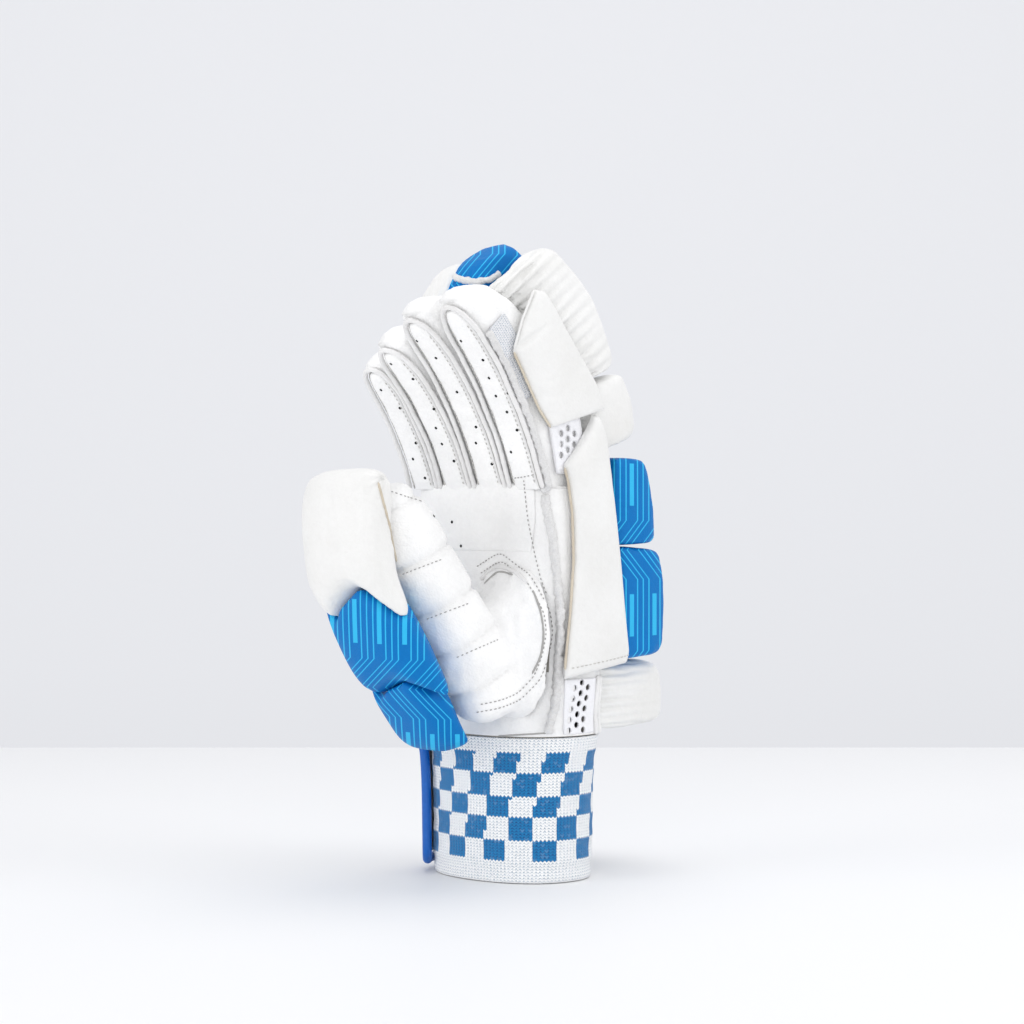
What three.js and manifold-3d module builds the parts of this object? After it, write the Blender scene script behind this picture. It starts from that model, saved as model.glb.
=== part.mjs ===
// Cricket batting glove for the right hand, standing on its wristband.
// Sizes are in millimetres. X runs across the hand with the thumb side positive,
// Y runs from the palm side (negative) to the back of the hand, and Z is up.
import * as THREE from 'three';
import { mergeVertices } from 'three/addons/utils/BufferGeometryUtils.js';
import Module from 'manifold-3d';

const wasm = await Module();
wasm.setup();

// Driving sizes: clearances and walls
const gap = 0.3;
const leatherWall = 2;
const frontWall = 1.8;
const patchWall = 1.2;
const ventWall = 1.2;

// Driving sizes: wristband and strap tab
const bandHeight = 68;
const bandWidth = 84;
const bandDepth = 62;
const bandWall = 3;
const tabHeight = 52;
const tabLift = 4;
const tabWall = 2.4;
const tabBorder = 4.6;

// Driving sizes: hand
const palmWidth = 91;
const palmDepth = 47;
const palmHeight = 116;

// Driving sizes: fingers
const fingerDepth = 34;
const fingerGap = 0.6;
const littleLength = 68;
const ringLength = 82;
const middleLength = 96;
const indexLength = 99;
const leanAtBase = 18;
const pipingWidth = 2.4;

// Driving sizes: thumb and its guard
const thumbWidth = 31;
const thumbLength = 117;
const guardWidth = 56;
const guardReach = 36;
const guardWall = 18;
const guardHeight = 130;

// Driving sizes: rolls, side bar, flap, vents and binding
const rollHeight = 36;
const wristRollHeight = 51;
const barWall = 5;
const barHeight = 116;
const barWidth = 43;
const flapWall = 5;
const flapHeight = 63;
const flapWidth = 37;
const ventHole = 3;
const ventPitch = 5;
const bindingWidth = 3.2;

// Heights and faces that several pieces share
const wristZ = bandHeight + gap;
const knuckleZ = wristZ + palmHeight;
const fingerZ = knuckleZ + gap;

const leatherWhite = { color: 0xf2f0ec, roughness: 0.55 };
const palmWhite = { color: 0xe6e5e4, roughness: 0.6 };
const padBlue = { color: 0x0560c4, roughness: 0.45 };
const knitBlue = { color: 0xdfe6ee, roughness: 0.95 };
const rubberBlue = { color: 0x0b62c2, roughness: 0.5 };

const group = new THREE.Group();

function addPiece(name, geometry, look) {
  const material = new THREE.MeshStandardMaterial({ ...look, metalness: 0 });
  const mesh = new THREE.Mesh(geometry, material);
  mesh.name = name;
  group.add(mesh);
  return mesh;
}

// Small helpers for numbers and tables

function radians(degrees) {
  return degrees * Math.PI / 180;
}

function squared(value, squareness) {
  return Math.sign(value) * Math.abs(value) ** (2 / squareness);
}

// Value of every column at one share, between the rows of a table that rises in column "at".
function readRow(table, share) {
  let row = 0;
  while (row < table.length - 2 && share > table[row + 1].at) {
    row += 1;
  }
  const low = table[row];
  const high = table[row + 1];
  const between = (share - low.at) / (high.at - low.at);
  const result = {};
  for (const column of Object.keys(low)) {
    result[column] = low[column] + (high[column] - low[column]) * between;
  }
  return result;
}

function steps(count) {
  return Array.from({ length: count + 1 }, (_, index) => index / count);
}

// Small helpers for closed meshes

function meshGeometry(points, faces) {
  let volume = 0;
  for (let i = 0; i < faces.length; i += 3) {
    const a = points[faces[i]];
    const b = points[faces[i + 1]];
    const c = points[faces[i + 2]];
    volume += a.dot(new THREE.Vector3().crossVectors(b, c));
  }
  if (volume < 0) {
    faces.reverse();
  }
  const geometry = new THREE.BufferGeometry();
  geometry.setFromPoints(points);
  geometry.setIndex(faces);
  geometry.computeVertexNormals();
  return geometry;
}

// Skin through rings of equal point counts, capped at both ends or joined into a loop.
function loft(rings, loop = false) {
  const sides = rings[0].length;
  const points = rings.flat();
  const faces = [];
  const spans = loop ? rings.length : rings.length - 1;
  for (let ring = 0; ring < spans; ring += 1) {
    const near = ring * sides;
    const far = ((ring + 1) % rings.length) * sides;
    for (let side = 0; side < sides; side += 1) {
      const next = (side + 1) % sides;
      faces.push(near + side, near + next, far + next);
      faces.push(near + side, far + next, far + side);
    }
  }
  if (!loop) {
    capRing(points, faces, rings[0], 0, true);
    capRing(points, faces, rings.at(-1), (rings.length - 1) * sides, false);
  }
  return meshGeometry(points, faces);
}

function capRing(points, faces, ring, start, first) {
  const middle = new THREE.Vector3();
  for (const point of ring) {
    middle.addScaledVector(point, 1 / ring.length);
  }
  const centre = points.length;
  points.push(middle);
  for (let side = 0; side < ring.length; side += 1) {
    const here = start + side;
    const next = start + (side + 1) % ring.length;
    if (first) {
      faces.push(centre, next, here);
    } else {
      faces.push(centre, here, next);
    }
  }
}

// Solid between an under face and an over face, both given over the same grid of shares.
function slab(across, along, under, over) {
  const width = across.length;
  const faceSize = width * along.length;
  const points = [];
  for (const face of [under, over]) {
    for (const v of along) {
      for (const u of across) {
        points.push(face(u, v));
      }
    }
  }
  const faces = [];
  for (let row = 0; row < along.length - 1; row += 1) {
    for (let column = 0; column < width - 1; column += 1) {
      const a = row * width + column;
      const b = a + 1;
      const c = b + width;
      const d = a + width;
      faces.push(a, d, c, a, c, b);
      faces.push(a + faceSize, c + faceSize, d + faceSize, a + faceSize, b + faceSize, c + faceSize);
    }
  }
  const rim = [];
  for (let column = 0; column < width - 1; column += 1) {
    rim.push(column);
  }
  for (let row = 0; row < along.length - 1; row += 1) {
    rim.push(row * width + width - 1);
  }
  for (let column = width - 1; column > 0; column -= 1) {
    rim.push(faceSize - width + column);
  }
  for (let row = along.length - 1; row > 0; row -= 1) {
    rim.push(row * width);
  }
  for (let index = 0; index < rim.length; index += 1) {
    const here = rim[index];
    const next = rim[(index + 1) % rim.length];
    faces.push(here, next, next + faceSize, here, next + faceSize, here + faceSize);
  }
  return meshGeometry(points, faces);
}

// Ring of a rounded box section round a centre, in the plane of two directions.
function sectionRing(centre, across, deep, halfWidth, halfDepth, squareness, sides) {
  const points = [];
  for (let side = 0; side < sides; side += 1) {
    const angle = 2 * Math.PI * (side + 0.5) / sides;
    const point = centre.clone();
    point.addScaledVector(across, halfWidth * squared(Math.cos(angle), squareness));
    point.addScaledVector(deep, halfDepth * squared(Math.sin(angle), squareness));
    points.push(point);
  }
  return points;
}

function roundTube(points, width, sides, pathSteps) {
  const section = new THREE.Shape();
  for (let side = 0; side < sides; side += 1) {
    const angle = 2 * Math.PI * side / sides;
    const x = Math.cos(angle) * width / 2;
    const y = Math.sin(angle) * width / 2;
    if (side === 0) {
      section.moveTo(x, y);
    } else {
      section.lineTo(x, y);
    }
  }
  const path = new THREE.CatmullRomCurve3(points, false, 'centripetal');
  return new THREE.ExtrudeGeometry(section, { steps: pathSteps, extrudePath: path, bevelEnabled: false });
}

function toSolid(geometry) {
  const bare = geometry.clone();
  bare.deleteAttribute('normal');
  bare.deleteAttribute('uv');
  const merged = mergeVertices(bare, 1e-4);
  const vertProperties = new Float32Array(merged.attributes.position.array);
  const triVerts = new Uint32Array(merged.index.array);
  return new wasm.Manifold(new wasm.Mesh({ numProp: 3, vertProperties, triVerts }));
}

function toGeometry(solid) {
  const mesh = solid.getMesh();
  const geometry = new THREE.BufferGeometry();
  geometry.setAttribute('position', new THREE.BufferAttribute(mesh.vertProperties, 3));
  geometry.setIndex(new THREE.BufferAttribute(mesh.triVerts, 1));
  geometry.computeVertexNormals();
  return geometry;
}

const acrossHand = new THREE.Vector3(1, 0, 0);
const towardsBack = new THREE.Vector3(0, 1, 0);

// Wristband: a knitted tube that widens a little towards the hand
const bandRows = [
  { at: 0, girth: 0.965 },
  { at: 0.04, girth: 0.99 },
  { at: 0.1, girth: 0.98 },
  { at: 0.14, girth: 1 },
  { at: 0.6, girth: 1.01 },
  { at: 0.85, girth: 1.03 },
  { at: 1, girth: 1.09 },
];
const bandSides = 28;
const bandSquareness = 2.2;

function bandHalf(height) {
  const girth = readRow(bandRows, height).girth;
  return { width: girth * bandWidth / 2, depth: girth * bandDepth / 2 };
}

function bandRing(height, inset) {
  const half = bandHalf(height);
  const centre = new THREE.Vector3(0, 0, height * bandHeight);
  return sectionRing(centre, acrossHand, towardsBack, half.width - inset, half.depth - inset,
    bandSquareness, bandSides);
}

function wristband() {
  const outer = bandRows.map((row) => bandRing(row.at, 0));
  const inner = [1, 0.85, 0].map((height) => bandRing(height, bandWall));
  return loft([...outer, ...inner], true);
}

// Strap tab: a plate that hugs the little-finger side of the band
const tabFrontAngle = 226;
const tabBackAngle = 150;
const tabShares = steps(10);

function bandPoint(angleDegrees, z, lift) {
  const half = bandHalf(z / bandHeight);
  const angle = radians(angleDegrees);
  const x = (half.width + lift) * squared(Math.cos(angle), bandSquareness);
  const y = (half.depth + lift) * squared(Math.sin(angle), bandSquareness);
  return new THREE.Vector3(x, y, z);
}

function tabPoint(share, height, lift) {
  const angle = tabBackAngle + (tabFrontAngle - tabBackAngle) * share;
  return bandPoint(angle, tabLift + tabBorder + height * tabHeight, lift);
}

const tabGap = 1.2;

function tabPlate() {
  const rows = steps(3);
  return slab(tabShares, rows, (u, v) => tabPoint(u, v, tabGap),
    (u, v) => tabPoint(u, v, tabGap + tabWall));
}

function tabBorderTube() {
  const middle = tabGap + tabWall / 2 + tabBorder / 4;
  const clear = (tabBorder / 2 + 4 * gap) / tabHeight;
  const points = [];
  for (const share of [0, 0.25, 0.5, 0.75, 0.96]) {
    points.push(tabPoint(share, 1 + clear, middle));
  }
  for (const height of [0.97, 0.75, 0.5, 0.25, 0.03]) {
    points.push(tabPoint(1.09, height, middle + tabBorder * 0.1));
  }
  for (const share of [0.96, 0.75, 0.5, 0.25, 0]) {
    points.push(tabPoint(share, -clear, middle));
  }
  return roundTube(points, tabBorder, 6, 24);
}

// Hand: a hollow leather body between the wrist and the knuckles.
// Centres and sizes are shares of the palm's width and depth, heights of the palm's height.
const palmRows = [
  { at: 0, x: 0, y: 0, width: 0.985, depth: 1.4, squareness: 2.3 },
  { at: 0.08, x: 0.01, y: -0.02, width: 0.97, depth: 1.22, squareness: 2.6 },
  { at: 0.2, x: 0.03, y: -0.07, width: 1, depth: 1.08, squareness: 3 },
  { at: 0.4, x: 0.045, y: -0.1, width: 1.01, depth: 1.02, squareness: 3.4 },
  { at: 0.7, x: 0.055, y: -0.11, width: 1.01, depth: 1, squareness: 3.8 },
  { at: 1, x: 0.0595, y: -0.107, width: 1.005, depth: 1, squareness: 4.5 },
];
const palmSides = 28;

function palmSection(height) {
  const row = readRow(palmRows, height);
  return {
    centre: new THREE.Vector3(row.x * palmWidth, row.y * palmDepth, wristZ + height * palmHeight),
    halfWidth: row.width * palmWidth / 2,
    halfDepth: row.depth * palmDepth / 2,
    squareness: row.squareness,
  };
}

function palmPoint(angleDegrees, height, lift) {
  const section = palmSection(height);
  const angle = radians(angleDegrees);
  const point = section.centre.clone();
  point.x += (section.halfWidth + lift) * squared(Math.cos(angle), section.squareness);
  point.y += (section.halfDepth + lift) * squared(Math.sin(angle), section.squareness);
  return point;
}

function palmRing(height, lift) {
  const section = palmSection(height);
  return sectionRing(section.centre, acrossHand, towardsBack, section.halfWidth + lift,
    section.halfDepth + lift, section.squareness, palmSides);
}

const palmShares = [0, 0.08, 0.2, 0.4, 0.7, 1];

function palmOuter(lift) {
  return toSolid(loft(palmShares.map((height) => palmRing(height, lift))));
}

// A copy of the hand that is larger by the clearance and runs past both ends, for trimming.
function palmTrimmer() {
  const rings = palmShares.map((height) => palmRing(height, gap));
  const skirt = palmRing(0, gap);
  skirt.forEach((point) => { point.z -= bandHeight; });
  return toSolid(loft([skirt, ...rings]));
}

function palmInner() {
  const top = 1 - leatherWall / palmHeight;
  const rings = [0, 0.08, 0.2, 0.4, 0.7, top].map((height) => palmRing(height, -leatherWall));
  rings[0].forEach((point) => { point.z -= gap; });
  return toSolid(loft(rings));
}

// The hand is parted along one upright plane into the front with its sides and the flat back.
const partingY = 0.305 * palmDepth;

function halfSpace(isBack) {
  const size = 4 * palmWidth;
  const half = new THREE.BoxGeometry(size, size, size);
  const shift = (size + gap) / 2;
  half.translate(0, partingY + (isBack ? shift : -shift), wristZ);
  return toSolid(half);
}

// Fingers: each follows an arc that leans further forward towards its tip
const palmFront = palmSection(1).centre.y - palmSection(1).halfDepth;
const fingerSpecs = [
  { name: 'little', share: 0.232, length: littleLength, leanAtTip: 46 },
  { name: 'ring', share: 0.25, length: ringLength, leanAtTip: 54 },
  { name: 'middle', share: 0.256, length: middleLength, leanAtTip: 51 },
  { name: 'index', share: 0.262, length: indexLength, leanAtTip: 47 },
];

// Rolls of each finger: where the last one ends, heights as shares, and how far the tip roll leans out.
const rollSpecs = {
  little: { rollEnd: 0.88, rollShare: 0.86, tipShare: 0.68, outAtTip: 50 },
  ring: { rollEnd: 0.9, rollShare: 0.95, tipShare: 0.92, outAtTip: 60 },
  middle: { rollEnd: 0.85, rollShare: 1.02, tipShare: 1.02, outAtTip: 54 },
  index: { rollEnd: 0.88, rollShare: 1.05, tipShare: 1, outAtTip: 38 },
};
const fingerSettle = 0.12;
const fingerSquareness = 4;
const fingerSides = 16;

function placeFingers() {
  const clearWidth = palmWidth - fingerGap * (fingerSpecs.length - 1);
  let left = palmSection(1).centre.x - palmWidth / 2;
  return fingerSpecs.map((spec) => {
    const width = spec.share * clearWidth;
    const x = left + width / 2;
    left += width + fingerGap;
    return { ...spec, ...rollSpecs[spec.name], width, x };
  });
}

const fingers = placeFingers();

// Point on the front face of a finger and the direction from there to its back.
function fingerFrame(finger, share) {
  const start = radians(leanAtBase);
  const turn = radians(finger.leanAtTip) - start;
  const radius = finger.length / turn;
  const lean = start + turn * share;
  const y = palmFront - radius * (Math.cos(start) - Math.cos(lean));
  const z = fingerZ + radius * (Math.sin(lean) - Math.sin(start));
  const tilt = lean * Math.min(1, share / fingerSettle);
  return {
    front: new THREE.Vector3(finger.x, y, z),
    back: new THREE.Vector3(0, Math.cos(tilt), Math.sin(tilt)),
  };
}

const fingerRows = [
  { at: 0, width: 1, depth: 1 },
  { at: 0.12, width: 1, depth: 1 },
  { at: 0.35, width: 0.99, depth: 1 },
  { at: 0.6, width: 0.98, depth: 0.92 },
  { at: 0.8, width: 0.97, depth: 0.75 },
  { at: 0.92, width: 0.9, depth: 0.57 },
  { at: 0.97, width: 0.74, depth: 0.4 },
  { at: 0.99, width: 0.5, depth: 0.25 },
];

function fingerRing(finger, share, inset) {
  const row = readRow(fingerRows, share);
  const frame = fingerFrame(finger, share);
  const depth = row.depth * fingerDepth;
  const centre = frame.front.clone().addScaledVector(frame.back, depth / 2);
  return sectionRing(centre, acrossHand, frame.back, row.width * finger.width / 2 - inset,
    depth / 2 - inset, fingerSquareness, fingerSides);
}

function fingerSleeve(finger) {
  const outer = fingerRows.map((row) => fingerRing(finger, row.at, 0)).reverse();
  const inner = [0, 0.12, 0.35, 0.6, 0.9].map((share) => fingerRing(finger, share, leatherWall));
  return loft([...outer, ...inner]);
}

function fingerTrimmer(finger) {
  return toSolid(loft(fingerRows.map((row) => fingerRing(finger, row.at, -gap))));
}

function fingerHole(finger) {
  const low = fingerRing(finger, 0, leatherWall);
  const high = fingerRing(finger, 0, leatherWall);
  low.forEach((point) => { point.z -= 2 * leatherWall; });
  high.forEach((point) => { point.z += leatherWall; });
  return toSolid(loft([low, high]));
}

// Finger fronts: leather with a U-shaped end, ringed by a piping
const frontShare = 0.66;
const frontRows = [
  { at: 0, width: 1 },
  { at: 0.8, width: 0.97 },
  { at: 0.88, width: 0.9 },
  { at: 0.94, width: 0.74 },
  { at: 0.98, width: 0.5 },
  { at: 1, width: 0.24 },
];
const frontEnd = 0.95;
const frontStart = 0.01;

function frontPoint(finger, side, share, lift) {
  const frame = fingerFrame(finger, frontStart + (frontEnd - frontStart) * share);
  const half = readRow(frontRows, share).width * frontShare * finger.width / 2;
  const point = frame.front.clone().addScaledVector(frame.back, -lift);
  point.x += side * half;
  return point;
}

function fingerFront(finger) {
  const crown = 0.9;
  const across = [-1, -0.5, 0.5, 1];
  const along = [0, 0.2, 0.4, 0.6, 0.8, 0.88, 0.94, 0.98, 1];
  return slab(across, along,
    (u, v) => frontPoint(finger, u, v, gap),
    (u, v) => frontPoint(finger, u, v, gap + frontWall + crown * (1 - u * u)));
}

// The piping keeps one clearance to the edge of the front, also round its end.
function fingerPiping(finger) {
  const clear = gap + pipingWidth * 0.95;
  const rise = gap + pipingWidth / 2;
  const roundFrom = 0.84;
  const place = (side, share) => {
    const turn = Math.PI / 2 * Math.max(0, (share - roundFrom) / (1 - roundFrom));
    const half = readRow(frontRows, share).width * frontShare * finger.width / 2;
    const along = frontStart + (frontEnd - frontStart) * share + clear * Math.sin(turn) / finger.length;
    const frame = fingerFrame(finger, along);
    const point = frame.front.clone().addScaledVector(frame.back, -rise);
    point.x += side * (half + clear * Math.cos(turn));
    return point;
  };
  const shares = [0.02, 0.25, 0.5, 0.72, 0.85, 0.92, 0.97];
  const left = shares.map((share) => place(-1, share));
  const right = shares.map((share) => place(1, share)).reverse();
  return roundTube([...left, place(0, 1), ...right], pipingWidth, 5, 22);
}

// Palm patch: a second layer of leather under the finger roots
const patchRows = [
  { at: 0, height: 0.74, left: 212, right: 304 },
  { at: 0.5, height: 0.86, left: 214, right: 308 },
  { at: 1, height: 0.985, left: 218, right: 306 },
];

function palmPatch(trimmer) {
  const across = steps(12);
  const point = (u, v, lift) => {
    const row = readRow(patchRows, v);
    return palmPoint(row.left + (row.right - row.left) * u, row.height, lift);
  };
  const raw = slab(across, steps(4), (u, v) => point(u, v, 0), (u, v) => point(u, v, gap + patchWall));
  return toGeometry(toSolid(raw).subtract(trimmer));
}

// Binding on the seam along the thumb side of the hand
const bindingRows = [
  { at: 0, angle: -30 },
  { at: 0.12, angle: -24 },
  { at: 0.5, angle: -20 },
  { at: 0.8, angle: -30 },
  { at: 0.97, angle: -42 },
];

function sideBinding(trimmer) {
  const points = [];
  for (const share of [0.015, 0.12, 0.25, 0.4, 0.6, 0.8, 0.97]) {
    points.push(palmPoint(readRow(bindingRows, share).angle, share, gap + bindingWidth * 0.42));
  }
  const tube = roundTube(points, bindingWidth, 6, 15);
  return toGeometry(toSolid(tube).subtract(trimmer));
}

// Thumb: a leaning tube, joined to the palm by a flared web of leather.
// Places are shares of the thumb's length from its lower end, sizes are shares of its width.
const thumbRoot = new THREE.Vector3(
  palmSection(0.4).centre.x + 0.24 * palmWidth,
  palmFront - 0.16 * palmDepth,
  wristZ + 0.1 * palmHeight,
);
const thumbLean = new THREE.Vector3(-0.205, -0.42, 0.89);
const thumbAlong = thumbLean.clone().setX(0).normalize();
const thumbRows = [
  { at: 0, size: 0.56 },
  { at: 0.05, size: 0.96 },
  { at: 0.2, size: 1.1 },
  { at: 0.5, size: 1 },
  { at: 0.78, size: 0.92 },
  { at: 0.92, size: 0.8 },
  { at: 0.98, size: 0.56 },
  { at: 1, size: 0.34 },
];
const webRows = [
  { at: 0, y: -0.22, z: 0.29, width: 1.56, height: 2.4 },
  { at: 0.3, y: 0.04, z: 0.285, width: 1.5, height: 2.3 },
  { at: 0.65, y: 0.13, z: 0.275, width: 1.22, height: 1.9 },
  { at: 1, y: 0.4, z: 0.26, width: 0.8, height: 1.2 },
];
const thumbSides = 16;
const thumbSquareness = 2.4;

function thumbRing(share, inset) {
  const half = readRow(thumbRows, share).size * thumbWidth / 2 - inset;
  const centre = thumbRoot.clone().addScaledVector(thumbLean, share * thumbLength);
  const deep = new THREE.Vector3().crossVectors(thumbAlong, acrossHand);
  return sectionRing(centre, acrossHand, deep, half, half, thumbSquareness, thumbSides);
}

function webRing(row, inset) {
  const centre = thumbRoot.clone();
  centre.y = palmFront - row.y * thumbWidth;
  centre.z += row.z * thumbLength;
  const up = new THREE.Vector3(0, 0, 1);
  return sectionRing(centre, acrossHand, up, row.width * thumbWidth / 2 - inset,
    row.height * thumbWidth / 2 - inset, thumbSquareness, thumbSides);
}

function thumbSolid(inset) {
  const isHollow = inset > 0;
  const shares = thumbRows.map((row) => row.at).filter((share) => !isHollow || (share > 0 && share < 0.98));
  const tube = toSolid(loft(shares.map((share) => thumbRing(share, inset))));
  const web = toSolid(loft(webRows.map((row) => webRing(row, inset))));
  return tube.add(web);
}

// Thumb guard: three padded plates, set out in level sections round the thumb.
// Every row gives a place of the guard's middle and a height, as shares of named sizes.
const guardRows = [
  { at: 0, x: -0.12, y: 0.03, depth: 1.1 },
  { at: 0.06, x: -0.12, y: -0.03, depth: 1.2 },
  { at: 0.165, x: -0.13, y: -0.11, depth: 1.5 },
  { at: 0.29, x: -0.148, y: -0.215, depth: 1.75 },
  { at: 0.47, x: -0.187, y: -0.3, depth: 1.7 },
  { at: 0.6, x: -0.23, y: -0.345, depth: 1.5 },
  { at: 0.72, x: -0.25, y: -0.352, depth: 1.3 },
  { at: 0.835, x: -0.262, y: -0.352, depth: 1.2 },
  { at: 1, x: -0.262, y: -0.335, depth: 1 },
];
const guardBottom = wristZ - 0.05 * palmHeight;
const plateSeam = 1;
const plateStep = 2.5;
const guardSquareness = 4.5;
const guardWrap = 70;
const guardSideWall = 0.25;

// Lower edges of the plates: the points and the notch of an M, as shares of the plate's height
const notchedEdge = [
  { at: -1, rise: 0.4 },
  { at: -0.7, rise: 0.22 },
  { at: -0.35, rise: 0 },
  { at: -0.18, rise: 0.05 },
  { at: 0.05, rise: 0.26 },
  { at: 0.3, rise: 0.17 },
  { at: 0.7, rise: 0.02 },
  { at: 0.88, rise: 0.03 },
  { at: 1, rise: 0.2 },
];
const roundEdge = [
  { at: -1, rise: 0.5 },
  { at: -0.8, rise: 0.2 },
  { at: -0.5, rise: 0.05 },
  { at: 0, rise: 0 },
  { at: 0.5, rise: 0 },
  { at: 0.85, rise: 0.12 },
  { at: 1, rise: 0.4 },
];
const crownEdge = [
  { at: -1, rise: -0.42 },
  { at: -0.8, rise: -0.16 },
  { at: -0.5, rise: -0.05 },
  { at: 0, rise: 0 },
  { at: 0.6, rise: 0 },
  { at: 0.88, rise: -0.05 },
  { at: 1, rise: -0.16 },
];

const tipLow = guardBottom + 0.46 * guardHeight;
const tipHigh = guardBottom + guardHeight;
const middleLow = guardBottom + 0.2 * guardHeight;

function tipEdge(side) {
  return tipLow + readRow(notchedEdge, side).rise * (tipHigh - tipLow);
}

function tipCrown(side) {
  return tipHigh + readRow(crownEdge, side).rise * (tipHigh - tipLow);
}

function middleEdge(side) {
  return middleLow + readRow(notchedEdge, side).rise * (tipLow - middleLow) * 1.1;
}

function lowerEdge(side) {
  return guardBottom + readRow(roundEdge, side).rise * (tipLow - middleLow);
}

function guardPoint(angleDegrees, z, isUnder, setIn) {
  const height = THREE.MathUtils.clamp((z - guardBottom) / guardHeight, 0, 1);
  const row = readRow(guardRows, height);
  const angle = radians(angleDegrees);
  const wall = guardWall * (guardSideWall + (row.depth - guardSideWall) * Math.cos(angle) ** 3);
  const front = guardReach * squared(Math.cos(angle), guardSquareness);
  return new THREE.Vector3(
    thumbRoot.x + row.x * thumbLength + (guardWidth / 2) * squared(Math.sin(angle), guardSquareness),
    thumbRoot.y + row.y * thumbLength - front + (isUnder ? wall : setIn),
    z,
  );
}

function guardPlate(low, high, tuck, thumbTrimmer) {
  const across = [-1, -0.9, -0.72, -0.5, -0.3, -0.12, 0.05, 0.25, 0.5, 0.72, 0.9, 1];
  const along = [0, 0.06, 0.2, 0.5, 0.8, 0.94, 1];
  const zAt = (u, v) => low(u) + (high(u) - low(u)) * v;
  const soften = (v) => plateStep * Math.abs(2 * v - 1) ** 8;
  const under = (u, v) => guardPoint(u * guardWrap, zAt(u, v), true, 0);
  const over = (u, v) => guardPoint(u * guardWrap, zAt(u, v), false, tuck + soften(v));
  return toGeometry(toSolid(slab(across, along, under, over)).subtract(thumbTrimmer));
}

// Sausage rolls on the back: domes on the fingers' backs and on the back of the hand
const rollRim = 3;
const rollSteps = 6;
const rollAcross = 3.8;
const rollAlong = 8;

function bulge(share, squareness) {
  const angle = Math.PI * share;
  return { at: -squared(Math.cos(angle), squareness), rise: squared(Math.sin(angle), squareness) };
}

// Heights of the rolls over what carries them, as shares of the roll height, up a finger.
// Column "turn" says how far a roll's own direction has swung from the hand's to the tip's.
const fingerRollRows = [
  { at: 0, height: 1.06, turn: 0 },
  { at: 0.3, height: 1.12, turn: 0.15 },
  { at: 0.6, height: 1.24, turn: 0.5 },
  { at: 0.85, height: 1.25, turn: 0.85 },
  { at: 1, height: 1.15, turn: 1 },
];
const outAtBase = 15;

function fingerRoll(finger, from, to, heightShare) {
  const place = (u, v, lifted) => {
    const across = bulge(u, rollAcross);
    const along = bulge(v, rollAlong);
    const share = from + (to - from) * (along.at + 1) / 2;
    const frame = fingerFrame(finger, share);
    const row = readRow(fingerRollRows, share);
    const depth = readRow(fingerRows, share).depth * fingerDepth;
    const full = row.height * rollHeight * heightShare;
    const rise = lifted ? rollRim + (full - rollRim) * across.rise * along.rise : 0;
    const out = radians(outAtBase + (finger.outAtTip - outAtBase) * row.turn);
    const point = frame.front.clone().addScaledVector(frame.back, depth + gap);
    point.x += across.at * finger.width / 2;
    point.y += rise * Math.cos(out);
    point.z += rise * Math.sin(out);
    return point;
  };
  const raw = slab(steps(rollSteps), steps(rollSteps), (u, v) => place(u, v, false),
    (u, v) => place(u, v, true));
  return toGeometry(toSolid(raw).subtract(fingerTrimmer(finger)));
}

const handRollRows = [
  { at: 0.3, height: 1.04 },
  { at: 0.5, height: 1.06 },
  { at: 0.75, height: 0.98 },
  { at: 1, height: 0.84 },
  { at: 1.15, height: 0.7 },
];

function handRoll(finger, from, to) {
  const carrier = palmSection(from);
  const back = carrier.centre.y + carrier.halfDepth + gap;
  const place = (u, v, lifted) => {
    const across = bulge(u, rollAcross);
    const along = bulge(v, rollAlong);
    const height = from + (to - from) * (along.at + 1) / 2;
    const full = readRow(handRollRows, height).height * rollHeight * finger.rollShare;
    const rise = lifted ? rollRim + (full - rollRim) * across.rise * along.rise : 0;
    return new THREE.Vector3(finger.x + across.at * finger.width / 2, back + rise,
      wristZ + height * palmHeight);
  };
  return slab(steps(rollSteps), steps(rollSteps), (u, v) => place(u, v, false),
    (u, v) => place(u, v, true));
}

// Wrist roll: one pad across the back of the wrist, as shares of the palm's sizes
const wristRollLeft = -0.42;
const wristRollRight = 0.5;
const wristRollLow = 0.015;
const wristRollHigh = 0.285;
const wristRollAcross = 6;

function wristRoll(trimmer) {
  const place = (u, v, lifted) => {
    const across = bulge(u, wristRollAcross);
    const along = bulge(v, rollAlong);
    const height = wristRollLow + (wristRollHigh - wristRollLow) * (along.at + 1) / 2;
    const section = palmSection(height);
    const x = wristRollLeft + (wristRollRight - wristRollLeft) * (across.at + 1) / 2;
    const out = Math.min(0.98, Math.abs(x * palmWidth - section.centre.x) / section.halfWidth);
    const back = section.halfDepth * (1 - out ** section.squareness) ** (1 / section.squareness);
    const rise = lifted ? rollRim + (wristRollHeight - rollRim) * across.rise * along.rise : 0;
    return new THREE.Vector3(x * palmWidth, section.centre.y + back + rise, wristZ + height * palmHeight);
  };
  const raw = slab(steps(8), steps(rollSteps), (u, v) => place(u, v, false), (u, v) => place(u, v, true));
  return toGeometry(toSolid(raw).subtract(trimmer));
}

// Side bar and flap: flat pads outside the widest face of the index column
const barStart = 0.29;
const barSkew = 0.05;
const flapStart = 0.27;
const sideFace = fingers.at(-1).x + fingers.at(-1).width / 2 + gap;
const meshFace = sideFace + ventWall;

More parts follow.
